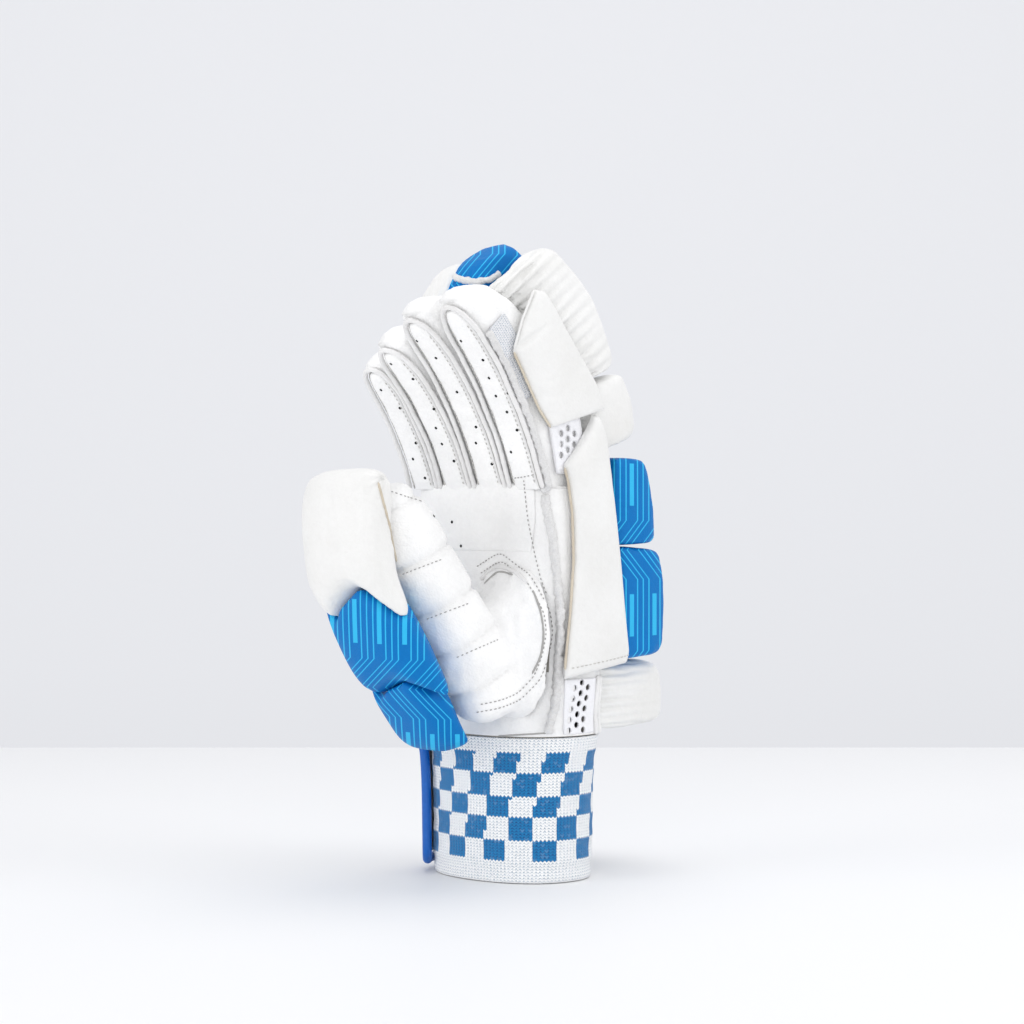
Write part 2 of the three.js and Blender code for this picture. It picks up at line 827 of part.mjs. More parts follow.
// Edges of the side bar, as shares of its width from the band's axis, up its height
const barRows = [
  { at: 0, left: -0.44, right: 0.52 },
  { at: 0.05, left: -0.44, right: 0.55 },
  { at: 0.22, left: -0.36, right: 0.48 },
  { at: 0.42, left: -0.31, right: 0.41 },
  { at: 0.61, left: -0.33, right: 0.33 },
  { at: 0.74, left: -0.4, right: 0.27 },
  { at: 0.8, left: -0.46, right: 0.245 },
  { at: 0.84, left: -0.34, right: 0.22 },
  { at: 0.9, left: -0.2, right: 0.18 },
  { at: 0.96, left: -0.08, right: 0.1 },
  { at: 1, left: -0.03, right: 0.03 },
];

function sideBar() {
  const bottom = wristZ + barStart * palmHeight;
  const place = (u, v, lift) => {
    const row = readRow(barRows, v);
    const y = (row.left + (row.right - row.left) * u) * barWidth;
    const drop = (1 - u) * barSkew * barHeight * Math.max(0, 1 - 4 * v);
    return new THREE.Vector3(meshFace + gap + lift, y, bottom + v * barHeight - drop);
  };
  const crown = (u) => barWall * (0.7 + 0.3 * Math.sin(Math.PI * u));
  return slab(steps(4), barRows.map((row) => row.at), (u, v) => place(u, v, 0),
    (u, v) => place(u, v, crown(u)));
}

// Corners of the index flap, row by row, as shares of its width and height
const flapRows = [
  { at: 0, leftY: -0.76, leftZ: 0, rightY: 0.2, rightZ: 0.15 },
  { at: 0.22, leftY: -0.98, leftZ: 0.14, rightY: 0.02, rightZ: 0.35 },
  { at: 0.45, leftY: -1.24, leftZ: 0.38, rightY: -0.24, rightZ: 0.53 },
  { at: 0.62, leftY: -1.42, leftZ: 0.54, rightY: -0.44, rightZ: 0.67 },
  { at: 0.82, leftY: -1.26, leftZ: 0.78, rightY: -0.7, rightZ: 0.85 },
  { at: 1, leftY: -1.05, leftZ: 1, rightY: -0.92, rightZ: 0.99 },
];

function indexFlap() {
  const bottom = fingerZ + flapStart * indexLength;
  const place = (u, v, lift) => {
    const row = readRow(flapRows, v);
    const y = row.leftY + (row.rightY - row.leftY) * u;
    const z = row.leftZ + (row.rightZ - row.leftZ) * u;
    return new THREE.Vector3(meshFace + gap + lift, y * flapWidth, bottom + z * flapHeight);
  };
  const crown = (u, v) => flapWall * (0.65 + 0.35 * Math.sin(Math.PI * u) * Math.sin(Math.PI * v) ** 0.5);
  return slab(steps(5), flapRows.map((row) => row.at), (u, v) => place(u, v, 0),
    (u, v) => place(u, v, crown(u, v)));
}

// Vents: thin panels pierced by staggered round holes
const cutterReach = 5 * ventWall;
const columnStep = 0.87 * ventPitch;

function holeCutter(centre, reach) {
  const cutter = new THREE.CylinderGeometry(ventHole / 2, ventHole / 2, 2 * reach, 6);
  cutter.rotateZ(Math.PI / 2);
  cutter.translate(centre.x, centre.y, centre.z);
  return toSolid(cutter);
}

function pierced(solid, centres) {
  let result = solid;
  for (const centre of centres) {
    result = result.subtract(holeCutter(centre, cutterReach));
  }
  return result;
}

function staggered(columns, rows) {
  const places = [];
  for (let column = 0; column < columns; column += 1) {
    for (let row = 0; row < rows; row += 1) {
      const shift = column % 2 === 0 ? 0 : 0.5;
      places.push({ across: (column - (columns - 1) / 2) * columnStep,
        up: (row + shift - (rows - 0.5) / 2) * ventPitch });
    }
  }
  return places;
}

const lowerVentFrom = -15;
const lowerVentTo = 11;
const lowerVentHeights = { low: 0.012, high: 0.235 };
const lowerVentGrid = { columns: 3, rows: 5 };

function lowerVentPoint(u, v, lift) {
  const angle = lowerVentFrom + (lowerVentTo - lowerVentFrom) * u;
  const height = lowerVentHeights.low + (lowerVentHeights.high - lowerVentHeights.low) * v;
  return palmPoint(angle, height, lift);
}

function lowerVent(trimmer) {
  const raw = slab(steps(6), steps(4), (u, v) => lowerVentPoint(u, v, 0),
    (u, v) => lowerVentPoint(u, v, gap + ventWall));
  const middle = lowerVentPoint(0.5, 0.5, 0);
  const centres = staggered(lowerVentGrid.columns, lowerVentGrid.rows).map((place) =>
    new THREE.Vector3(middle.x, middle.y + place.across, middle.z + place.up));
  return toGeometry(pierced(toSolid(raw).subtract(trimmer), centres));
}

function lowerWindow() {
  const middle = lowerVentPoint(0.5, 0.5, 0);
  const width = lowerVentGrid.columns * columnStep + ventWall;
  const height = (lowerVentGrid.rows + 0.4) * ventPitch;
  const window = new THREE.BoxGeometry(2 * cutterReach + leatherWall, width, height);
  window.translate(middle.x, middle.y, middle.z);
  return toSolid(window);
}

const upperVent = { y: -0.36, z: 0.21, width: 0.62, height: 0.3, lean: 7 };

function upperVentPanel() {
  const centreY = upperVent.y * fingerDepth;
  const centreZ = fingerZ + upperVent.z * indexLength;
  const half = upperVent.width * fingerDepth / 2;
  const tall = upperVent.height * indexLength / 2;
  const place = (u, v, lift) => new THREE.Vector3(sideFace + lift,
    centreY + (2 * u - 1) * half - v * upperVent.lean, centreZ + (2 * v - 1) * tall);
  const raw = slab([0, 1], [0, 1], (u, v) => place(u, v, 0), (u, v) => place(u, v, ventWall));
  const centres = staggered(3, 3).map((spot) =>
    new THREE.Vector3(sideFace, centreY + spot.across - upperVent.lean / 2, centreZ + spot.up));
  return toGeometry(pierced(toSolid(raw), centres));
}

// Assembly
const trimmer = palmTrimmer();
const thumbOuter = thumbSolid(0);
const thumbTrimmer = thumbSolid(-gap);
const thumbHollow = thumbSolid(leatherWall);

addPiece('wristband', wristband(), knitBlue);
addPiece('tab_plate', tabPlate(), leatherWhite);
addPiece('tab_border', tabBorderTube(), rubberBlue);

let hand = palmOuter(0).subtract(palmInner());
for (const finger of fingers) {
  hand = hand.subtract(fingerHole(finger));
}
hand = hand.subtract(thumbHollow).subtract(lowerWindow());
addPiece('palm_body', toGeometry(hand.intersect(halfSpace(false))), palmWhite);
addPiece('hand_back', toGeometry(hand.intersect(halfSpace(true))), palmWhite);
addPiece('palm_patch', palmPatch(trimmer.add(thumbTrimmer)), palmWhite);
addPiece('side_binding', sideBinding(trimmer.add(thumbTrimmer)), leatherWhite);

for (const finger of fingers) {
  addPiece(`finger_${finger.name}`, fingerSleeve(finger), palmWhite);
  addPiece(`front_${finger.name}`, fingerFront(finger), palmWhite);
  addPiece(`piping_${finger.name}`, fingerPiping(finger), leatherWhite);
}

const thumbShell = thumbOuter.subtract(thumbHollow).subtract(trimmer);
addPiece('thumb', toGeometry(thumbShell), palmWhite);
const middleTop = (side) => tipEdge(side) - plateSeam;
const lowerTop = (side) => middleEdge(side) - plateSeam;
addPiece('guard_tip', guardPlate(tipEdge, tipCrown, 0, thumbTrimmer), leatherWhite);
addPiece('guard_middle', guardPlate(middleEdge, middleTop, plateStep, thumbTrimmer), padBlue);
addPiece('guard_lower', guardPlate(lowerEdge, lowerTop, 2 * plateStep, thumbTrimmer), padBlue);

// Rolls: each finger's column alternates in colour at the tip
const tipLooks = { little: padBlue, ring: leatherWhite, middle: padBlue, index: leatherWhite };
const rollSeam = 0.004;
const rollStart = 0.07;
const rollSplit = 0.31;
const knuckleRoll = { from: 0.765, to: 1.13 };
const lowerRoll = { from: 0.3, to: 0.76 };
for (const finger of fingers) {
  const tip = fingerRoll(finger, rollSplit + rollSeam, finger.rollEnd, finger.tipShare);
  addPiece(`roll_${finger.name}_tip`, tip, tipLooks[finger.name]);
  const middle = fingerRoll(finger, rollStart, rollSplit - rollSeam, finger.rollShare);
  addPiece(`roll_${finger.name}_middle`, middle, leatherWhite);
  addPiece(`roll_${finger.name}_knuckle`, handRoll(finger, knuckleRoll.from, knuckleRoll.to), padBlue);
  addPiece(`roll_${finger.name}_hand`, handRoll(finger, lowerRoll.from, lowerRoll.to), padBlue);
}
addPiece('roll_wrist', wristRoll(trimmer), leatherWhite);

addPiece('side_bar', sideBar(), leatherWhite);
addPiece('index_flap', indexFlap(), leatherWhite);
addPiece('vent_lower', lowerVent(trimmer), palmWhite);
addPiece('vent_upper', upperVentPanel(), palmWhite);

// The origin is under the middle of the whole glove, on the surface that it stands on.
const box = new THREE.Box3().setFromObject(group);
group.position.set(-(box.min.x + box.max.x) / 2, -(box.min.y + box.max.y) / 2, -box.min.z);
group.updateMatrixWorld(true);

export default group;
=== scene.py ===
# %% [markdown]
# # A cricket batting glove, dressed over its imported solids
# The glove stands on its knitted wristband and shows the palm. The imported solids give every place
# and size. Each soft piece gets a finely made skin that keeps to its solid: leather fingers with
# piping, stuffed rolls on the back, a three-plate thumb guard and a knitted band.

# %% Load the glove's solids
import math
import bpy
import bmesh
import numpy as np
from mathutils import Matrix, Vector
from mathutils.bvhtree import BVHTree


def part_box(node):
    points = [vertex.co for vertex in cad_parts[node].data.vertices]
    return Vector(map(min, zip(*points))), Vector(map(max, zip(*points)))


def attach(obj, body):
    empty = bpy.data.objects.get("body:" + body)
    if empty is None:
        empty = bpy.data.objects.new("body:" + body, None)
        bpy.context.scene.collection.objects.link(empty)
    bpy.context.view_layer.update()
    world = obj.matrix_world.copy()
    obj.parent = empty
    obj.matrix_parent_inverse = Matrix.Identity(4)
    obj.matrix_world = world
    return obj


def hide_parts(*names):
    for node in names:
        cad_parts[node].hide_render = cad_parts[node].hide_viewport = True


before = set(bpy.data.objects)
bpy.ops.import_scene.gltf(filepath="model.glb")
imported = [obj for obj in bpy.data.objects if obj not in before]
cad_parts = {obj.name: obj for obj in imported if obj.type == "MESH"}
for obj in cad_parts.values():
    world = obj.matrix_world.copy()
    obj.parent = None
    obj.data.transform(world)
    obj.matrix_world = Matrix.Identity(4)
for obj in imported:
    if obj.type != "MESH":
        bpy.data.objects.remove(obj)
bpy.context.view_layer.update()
band_low, band_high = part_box("wristband")
axis = (band_low + band_high) / 2

# %% [markdown]
# The maker's drawing is in millimetres, measured from the middle of the wristband, so a small
# helper moves points from the drawing to the room. The same named sizes as the solids' are
# repeated here, because every seam, hole and stitch is placed from them.

# %% Sizes of the glove
LEATHER = 2.0
PALM_WIDTH, PALM_DEPTH, PALM_HEIGHT = 91.0, 47.0, 116.0
WRIST_Z = 68.3
KNUCKLE_Z = WRIST_Z + PALM_HEIGHT
FINGER_Z = KNUCKLE_Z + 0.3
FINGER_DEPTH = 34.0
THUMB_WIDTH, THUMB_LENGTH = 31.0, 117.0


def to_room(points):
    return np.asarray(points, float) / 1000 + np.array([axis.x, axis.y, 0.0])


def to_drawing(points):
    return (np.asarray(points, float) - np.array([axis.x, axis.y, 0.0])) * 1000


def squared(value, squareness):
    return np.sign(value) * np.abs(value) ** (2 / squareness)


def read(table, column, share, soft=0.03):
    """One column of a table at any share, with the corners between its rows rounded off."""
    at = [row["at"] for row in table]
    values = [row[column] for row in table]
    spread = (-1, -0.5, 0, 0.5, 1)
    return np.mean([np.interp(np.asarray(share, float) + soft * k, at, values) for k in spread], axis=0)


def cloud(points, size, seed):
    """Smooth random hills, from -1 to 1, about as wide as size."""
    lattice = np.random.default_rng(seed).uniform(-1, 1, (16, 16, 16))
    place = np.asarray(points, float) / size + 57.3
    cell = np.floor(place).astype(int)
    part = place - cell
    part = part * part * (3 - 2 * part)
    total = np.zeros(place.shape[:-1])
    for corner in np.ndindex(2, 2, 2):
        weight = np.ones(place.shape[:-1])
        for k in range(3):
            weight = weight * (part[..., k] if corner[k] else 1 - part[..., k])
        index = [(cell[..., k] + corner[k]) % 16 for k in range(3)]
        total += weight * lattice[index[0], index[1], index[2]]
    return total

# %% [markdown]
# Most skins are a grid of points with two directions, one across and one along. The grid becomes a
# smooth mesh with its own flat map in millimetres, so a knit or a print can follow the cloth.

# %% Skins from grids of points
def show(name, mesh, finish):
    """Put a mesh in the scene, with one finish."""
    mesh.materials.clear()
    mesh.materials.append(finish)
    piece = bpy.data.objects.new(name, mesh)
    bpy.context.scene.collection.objects.link(piece)
    return piece


def lay_skin(name, grid, finish, flat=None, around=False, loop=False):
    """A grid as a mesh that faces outwards; around closes its columns and loop closes its rows."""
    rows, columns = grid.shape[:2]
    row, column = np.meshgrid(np.arange(rows if loop else rows - 1),
                              np.arange(columns if around else columns - 1), indexing="ij")
    spots = np.stack([(row, column), (row, column + 1), (row + 1, column + 1), (row + 1, column)])
    spots = spots.transpose(2, 3, 0, 1).reshape(-1, 4, 2)
    a, b, c, d = (grid[spots[:, k, 0] % rows, spots[:, k, 1] % columns] for k in range(4))
    if np.sum((a - grid.reshape(-1, 3).mean(axis=0)) * np.cross(c - a, d - b)) < 0:
        spots = spots[:, ::-1]
    faces = spots[..., 0] % rows * columns + spots[..., 1] % columns
    mesh = bpy.data.meshes.new(name)
    mesh.from_pydata(to_room(grid.reshape(-1, 3)).tolist(), [], faces.tolist())
    if flat is not None:
        once_round = flat[0, -1, 0] + flat[0, 1, 0] - 2 * flat[0, 0, 0]
        wide = np.concatenate([flat, flat[:, :1] + [once_round, 0]], axis=1)
        wide = np.concatenate([wide, wide[-1:]], axis=0)
        uv = wide[spots[..., 0], spots[..., 1]].astype(np.float32)
        mesh.uv_layers.new(name="flat").data.foreach_set("uv", uv.ravel())
    mesh.shade_smooth()
    return show(name, mesh, finish)


def outward(grid):
    """The outward direction at each point of a tube, whose columns go round."""
    across = np.roll(grid, -1, axis=1) - np.roll(grid, 1, axis=1)
    out = np.cross(across, np.gradient(grid, axis=0))
    out /= np.maximum(np.linalg.norm(out, axis=-1, keepdims=True), 1e-9)
    from_core = grid - grid.mean(axis=1, keepdims=True)
    return out * np.sign(np.sum(out * from_core, axis=-1, keepdims=True))


def merge_doubles(mesh, distance):
    shape = bmesh.new()
    shape.from_mesh(mesh)
    bmesh.ops.remove_doubles(shape, verts=shape.verts, dist=distance)
    shape.to_mesh(mesh)
    shape.free()


def cut_away(mesh, gone):
    """Delete the marked points, and the faces on them."""
    shape = bmesh.new()
    shape.from_mesh(mesh)
    bmesh.ops.delete(shape, geom=[v for v in shape.verts if gone[v.index]], context="VERTS")
    shape.to_mesh(mesh)
    shape.free()


def wear(piece, slot, *nodes):
    """Close the piece's seams and poles; it moves with the glove and stands for its solids."""
    merge_doubles(piece.data, 2e-6)
    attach(piece, "root")
    if nodes:
        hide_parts(*nodes)
    return piece


print("a point of the drawing in the room", to_room([0, 0, WRIST_Z]).round(4))

# %% [markdown]
# A finish is one material whose nodes give the fine detail: grain, colour drift and sheen. The
# helpers below only save writing. Every constant stays on the shader's own socket.

# %% Helpers for finishes
def node(material, kind, inputs=None, **settings):
    """A new node in a material or a tree, with its inputs linked or set."""
    tree = getattr(material, "node_tree", material)
    made = tree.nodes.new(kind)
    for key, value in settings.items():
        setattr(made, key, value)
    for key, value in (inputs or {}).items():
        if isinstance(value, bpy.types.NodeSocket):
            tree.links.new(value, made.inputs[key])
        else:
            made.inputs[key].default_value = value
    return made


def start_finish(name, roughness, sheen=0.0):
    material = bpy.data.materials.new(name)
    material.use_nodes = True
    shader = material.node_tree.nodes["Principled BSDF"]
    shader.inputs["Roughness"].default_value = roughness
    shader.inputs["Sheen Weight"].default_value = sheen
    shader.inputs["Specular IOR Level"].default_value = 0.4
    return material, shader


def wire(material, source, socket):
    material.node_tree.links.new(source, socket)


def figure(material, operation, a, b=0.0):
    """The result of one sum on two sockets or numbers."""
    made = node(material, "ShaderNodeMath", {0: a, 1: b}, operation=operation)
    return made.outputs[0]


def blend_colours(material, factor, a, b):
    made = node(material, "ShaderNodeMix", data_type="RGBA")
    for socket, value in ((0, factor), (6, a), (7, b)):
        if isinstance(value, bpy.types.NodeSocket):
            wire(material, value, made.inputs[socket])
        else:
            made.inputs[socket].default_value = value if socket == 0 else (*value, 1)
    return made.outputs[2]

# %% [markdown]
# Glove leather is soft and fine-grained. Its grain is a cell texture about a millimetre wide, and
# its softness is a second, wider bump of small creases. Two close tints drift over it, because
# leather is never one flat colour. The cream pads and the whiter palm share this recipe.

# %% Leather
def leather(name, light, dark, roughness, grain, crease, sheen=0.1):
    material, shader = start_finish(name, roughness, sheen)
    place = node(material, "ShaderNodeTexCoord").outputs["Object"]
    drift = node(material, "ShaderNodeTexNoise", {"Vector": place, "Scale": 34.0, "Detail": 5.0})
    spots = node(material, "ShaderNodeTexNoise", {"Vector": place, "Scale": 420.0, "Detail": 3.0})
    mixed = figure(material, "MULTIPLY_ADD", spots.outputs["Fac"], 0.35)
    wire(material, drift.outputs["Fac"], mixed.node.inputs[2])
    ramp = node(material, "ShaderNodeMapRange", {"Value": mixed, "From Min": 0.45, "From Max": 0.95})
    wire(material, blend_colours(material, ramp.outputs[0], light, dark), shader.inputs["Base Color"])
    cells = node(material, "ShaderNodeTexVoronoi", {"Vector": place, "Scale": 1050.0})
    folds = node(material, "ShaderNodeTexNoise",
                 {"Vector": place, "Scale": 150.0, "Detail": 6.0, "Distortion": 1.2})
    fine = node(material, "ShaderNodeBump",
                {"Strength": grain, "Distance": 0.0004, "Height": cells.outputs["Distance"]})
    wide = node(material, "ShaderNodeBump", {"Strength": crease, "Distance": 0.0012,
                "Height": folds.outputs["Fac"], "Normal": fine.outputs[0]})
    wire(material, wide.outputs[0], shader.inputs["Normal"])
    gloss = node(material, "ShaderNodeMapRange", {"Value": spots.outputs["Fac"],
                 "To Min": roughness - 0.08, "To Max": roughness + 0.1})
    wire(material, gloss.outputs[0], shader.inputs["Roughness"])
    return material


cream_leather = leather("cream_leather", (0.83, 0.828, 0.815), (0.76, 0.755, 0.735), 0.5, 0.2, 0.3)
palm_leather = leather("palm_leather", (0.95, 0.947, 0.94), (0.85, 0.847, 0.84), 0.56, 0.4, 0.35)
piping_leather = leather("piping_leather", (0.86, 0.855, 0.85), (0.72, 0.71, 0.7), 0.58, 0.3, 0.3)
raw_edge = leather("raw_edge", (0.68, 0.61, 0.5), (0.52, 0.45, 0.35), 0.8, 0.3, 0.3)
lining = leather("lining", (0.5, 0.47, 0.43), (0.38, 0.36, 0.33), 0.9, 0.3, 0.3, 0.3)

# %% [markdown]
# The blue pads carry a coated leather with a thin pale pinstripe print. The stripes run down the
# pad, break into chevrons and end in a few plain bars. The print is laid out from two directions
# in space: round the pad, which is across plus back, and up. Ping-pong nodes fold both directions
# back and forth, so one line, one bend and one bar repeat over the whole pad.

# %% Blue coated leather with pinstripes
LANE_HALF, LINE_HALF = 0.002025, 0.00042
GROUP_HALF, CLEARING_HALF, BAR_HALF = 0.0081, 0.0018, 0.0015
FIELD_TALL, CHEVRON_FROM, BAR_TALL = 0.031, 0.017, 0.010


def pad_blue(name, turn, shift):
    material, shader = start_finish(name, 0.5)
    shader.inputs["Specular IOR Level"].default_value = 0.15
    place = node(material, "ShaderNodeTexCoord").outputs["Object"]
    parts = node(material, "ShaderNodeSeparateXYZ", {"Vector": place})
    round_pad = figure(material, "ADD", parts.outputs["X"], parts.outputs["Y"])
    round_pad = figure(material, "ADD", round_pad, shift)
    up = figure(material, "PINGPONG", parts.outputs["Z"], FIELD_TALL)
    bend = figure(material, "MULTIPLY", figure(material, "MAXIMUM", up, CHEVRON_FROM), turn)
    lane = figure(material, "ADD", round_pad, bend)
    group = figure(material, "PINGPONG", lane, GROUP_HALF)
    line = figure(material, "LESS_THAN", figure(material, "PINGPONG", lane, LANE_HALF), LINE_HALF)
    line = figure(material, "MULTIPLY", line, figure(material, "GREATER_THAN", group, CLEARING_HALF))
    bar = figure(material, "MULTIPLY", figure(material, "LESS_THAN", group, BAR_HALF),
                 figure(material, "LESS_THAN", up, BAR_TALL))
    marks = figure(material, "MAXIMUM", line, bar)
    fleck = node(material, "ShaderNodeTexNoise", {"Vector": place, "Scale": 1500.0, "Detail": 2.0})
    drift = node(material, "ShaderNodeTexNoise", {"Vector": place, "Scale": 45.0, "Detail": 3.0})
    base = blend_colours(material, fleck.outputs["Fac"], (0.0, 0.115, 0.39), (0.0005, 0.21, 0.57))
    base = blend_colours(material, drift.outputs["Fac"], base, (0.0, 0.165, 0.5))
    printed = blend_colours(material, marks, base, (0.03, 0.47, 0.8))
    wire(material, printed, shader.inputs["Base Color"])
    cells = node(material, "ShaderNodeTexVoronoi", {"Vector": place, "Scale": 1100.0})
    fine = node(material, "ShaderNodeBump",
                {"Strength": 0.18, "Distance": 0.0003, "Height": cells.outputs["Distance"]})
    wire(material, fine.outputs[0], shader.inputs["Normal"])
    return material


roll_blue = pad_blue("roll_blue", 1.1, 0.0013)
guard_blue = pad_blue("guard_blue", 1.3, 0.0)
print("lines on the blue leather every", 2000 * LANE_HALF, "mm")

# %% [markdown]
# The band is a rib knit. Its flat map is the way round and the height in millimetres. A ping-pong
# wave bends every course of stitches up and down across each column, which gives the small V shapes
# of knitting. The yarn's colour is painted darker and bluer in the hollows between stitches, a painted
# shade, over its real uneven tone. Five rows of blue and white checks are knitted in, and the upper
# rows lean. A check takes its colour from whole stitches, so its edges are jagged as in real knitwear.

# %% Knits
CHECK_ROUND, CHECK_TALL, CHECK_ROWS = 11.65, 10.15, 5
CHECK_LOW, CHECK_START = 10.2, -14.5
LEAN_FROM, LEAN_TALL, LEAN_POWER, LEAN_MOST = 15.0, 41, 1.8, 5.5
COURSE_SHARE = 0.72


def check_mask(material, stitch_x, stitch_z, pitch):
    """1 on the blue squares and 0 on the white, with one value for each whole stitch."""
    rise = figure(material, "MAXIMUM", figure(material, "SUBTRACT", stitch_z, LEAN_FROM), 0.0)
    lean = figure(material, "POWER", figure(material, "MULTIPLY", rise, 1 / LEAN_TALL), LEAN_POWER)
    lean = figure(material, "MULTIPLY", lean, LEAN_MOST)
    side = figure(material, "SUBTRACT", stitch_x, CHECK_START - CHECK_ROUND / 2 - pitch / 2)
    side = figure(material, "SUBTRACT", side, lean)
    side = figure(material, "FLOOR", figure(material, "MULTIPLY", side, 1 / CHECK_ROUND))
    row = figure(material, "SUBTRACT", stitch_z, CHECK_LOW)
    row = figure(material, "FLOOR", figure(material, "MULTIPLY", row, 1 / CHECK_TALL))
    odd = figure(material, "FLOORED_MODULO", figure(material, "ADD", side, row), 2.0)
    inside = figure(material, "MULTIPLY", figure(material, "GREATER_THAN", row, -0.5),
                    figure(material, "LESS_THAN", row, CHECK_ROWS - 0.5))
    mask = figure(material, "MULTIPLY", figure(material, "LESS_THAN", odd, 0.5), inside)
    place = node(material, "ShaderNodeCombineXYZ", {"X": stitch_x, "Y": stitch_z})
    fleck = node(material, "ShaderNodeTexWhiteNoise", {"Vector": place.outputs[0]},
                 noise_dimensions="3D")
    pale = figure(material, "GREATER_THAN", fleck.outputs["Value"], 0.86)
    mask = figure(material, "SUBTRACT", mask, figure(material, "MULTIPLY", pale, 0.06))
    return figure(material, "MAXIMUM", mask, 0.0)


def knit(name, light, checks=False, pitch=1.9, sheen=0.2):
    material, shader = start_finish(name, 0.85, sheen)
    flat = node(material, "ShaderNodeUVMap", uv_map="flat").outputs["UV"]
    wobble = node(material, "ShaderNodeTexNoise", {"Vector": flat, "Scale": 1.1, "Detail": 4.0})
    parts = node(material, "ShaderNodeSeparateXYZ", {"Vector": flat})
    around, up = parts.outputs["X"], parts.outputs["Y"]
    tall = COURSE_SHARE * pitch
    column = figure(material, "PINGPONG", around, pitch / 2)
    course = figure(material, "MULTIPLY", figure(material, "ADD", up, column), 1 / tall)
    across = figure(material, "MULTIPLY", around, 1 / pitch)
    loop = figure(material, "MULTIPLY", figure(material, "PINGPONG", course, 0.5), 1.5)
    valley = figure(material, "MULTIPLY", figure(material, "PINGPONG", across, 0.5), 0.75)
    height = figure(material, "ADD", loop, valley)
    uneven = figure(material, "MULTIPLY_ADD", wobble.outputs["Fac"], 1.1)
    wire(material, height, uneven.node.inputs[2])
    # The tint follows the stitches' height: the gaps between stitches are painted darker and bluer, a
    # painted shade, while the wobble adds the yarn's real uneven tone.
    tint = node(material, "ShaderNodeMapRange",
                {"Value": uneven, "From Min": 0.65, "From Max": 1.15}).outputs[0]
    shade = (light[0] * 0.4, light[1] * 0.48, light[2] * 0.56)
    colour = blend_colours(material, tint, shade, light)
    if checks:
        stitch_x = figure(material, "MULTIPLY", figure(material, "FLOOR", across), pitch)
        stitch_z = figure(material, "MULTIPLY", figure(material, "FLOOR", course), tall)
        # The blue checks get the same painted shade in the gaps between their stitches.
        dyed = blend_colours(material, tint, (0.001, 0.05, 0.2), (0.006, 0.2, 0.48))
        is_blue = check_mask(material, stitch_x, stitch_z, pitch)
        colour = blend_colours(material, is_blue, colour, dyed)
    wire(material, colour, shader.inputs["Base Color"])
    bump = node(material, "ShaderNodeBump", {"Strength": 0.8, "Distance": 0.0004, "Height": uneven})
    wire(material, bump.outputs[0], shader.inputs["Normal"])
    return material


band_knit = knit("band_knit", (0.99, 0.99, 0.99), checks=True)
rib_knit = knit("rib_knit", (0.93, 0.93, 0.95), pitch=1.3)
print("checks", CHECK_ROUND, "by", CHECK_TALL, "mm in", CHECK_ROWS, "rows")

# %% [markdown]
# Small finishes: satin blue rubber for the tab's rim, cloth for the vents, a fuzzy white binding
# tape, pale thread, a grey for thread that also paints thin lines of shade in seams, and a near-black
# that is painted shade inside the air holes. Each is a pair of close tints and a bump from the same fine
# noise.

# %% Rubber, tape and thread
def plain_finish(name, light, dark, roughness, scale, strength, sheen=0.0):
    material, shader = start_finish(name, roughness, sheen)
    place = node(material, "ShaderNodeTexCoord").outputs["Object"]
    speck = node(material, "ShaderNodeTexNoise", {"Vector": place, "Scale": scale, "Detail": 4.0})
    tint = blend_colours(material, speck.outputs["Fac"], light, dark)
    wire(material, tint, shader.inputs["Base Color"])
    bump = node(material, "ShaderNodeBump",
                {"Strength": strength, "Distance": 0.0006, "Height": speck.outputs["Fac"]})
    wire(material, bump.outputs[0], shader.inputs["Normal"])
    return material


tab_rubber = plain_finish("tab_rubber", (0.002, 0.13, 0.52), (0.001, 0.09, 0.4), 0.45, 600.0, 0.1)
vent_cloth = plain_finish("vent_cloth", (0.93, 0.93, 0.95), (0.82, 0.82, 0.85), 0.85, 1300.0, 0.5, 0.2)
tape = plain_finish("tape", (0.86, 0.86, 0.86), (0.62, 0.61, 0.6), 0.9, 1600.0, 0.8, 0.4)
pale_thread = plain_finish("pale_thread", (0.72, 0.71, 0.68), (0.5, 0.49, 0.46), 0.7, 3000.0, 0.6, 0.2)
# This grey is real thread in the stitches, and the same grey also paints thin lines of shade in seam
# valleys.
thread_and_shade_grey = plain_finish("thread_and_shade_grey", (0.5, 0.49, 0.47), (0.34, 0.335, 0.33), 0.75, 3000.0, 0.6, 0.2)
# Near-black for the air holes: painted shade for the dark inside each hole.
hole_shade = plain_finish("hole_shade", (0.02, 0.02, 0.022), (0.005, 0.005, 0.006), 0.95, 900.0, 0.2)
print("finishes", len(bpy.data.materials))

# %% [markdown]
# The camera stands square to the corner between the palm and the thumb side, a little above the
# glove's middle height. Its lens and place are worked out from the picture's frame of 1024 pixels.

# %% Camera
PICTURE, FOCUS, DISTANCE, EYE = 1024, 2500.0, 1.2, 0.173
SENSOR = 36.0
CORNER_VIEW = math.radians(45)
camera_data = bpy.data.cameras.new("camera")
camera_data.sensor_width = SENSOR
camera_data.lens = FOCUS * SENSOR / PICTURE
camera = bpy.data.objects.new("camera", camera_data)
towards_camera = Vector((math.sin(CORNER_VIEW), -math.cos(CORNER_VIEW), 0))
right = Vector((-towards_camera.y, towards_camera.x, 0))
middle = Vector((axis.x, axis.y, 0))
camera.location = middle + Vector((0, 0, EYE)) + towards_camera * DISTANCE
camera.rotation_euler = (math.radians(90), 0, CORNER_VIEW)
bpy.context.scene.collection.objects.link(camera)
bpy.context.scene.camera = camera
print("lens", round(camera_data.lens, 1), "mm")

# %% [markdown]
# A plain studio: a white table whose far edge shows low behind the glove, a pale grey wall that
# glows a little, and four large soft lamps. The lamp above is the strongest. Those at the left and
# in front are close to each other in power, and the one at the right is weaker, so the fingers
# and rolls keep a soft shade on one side.

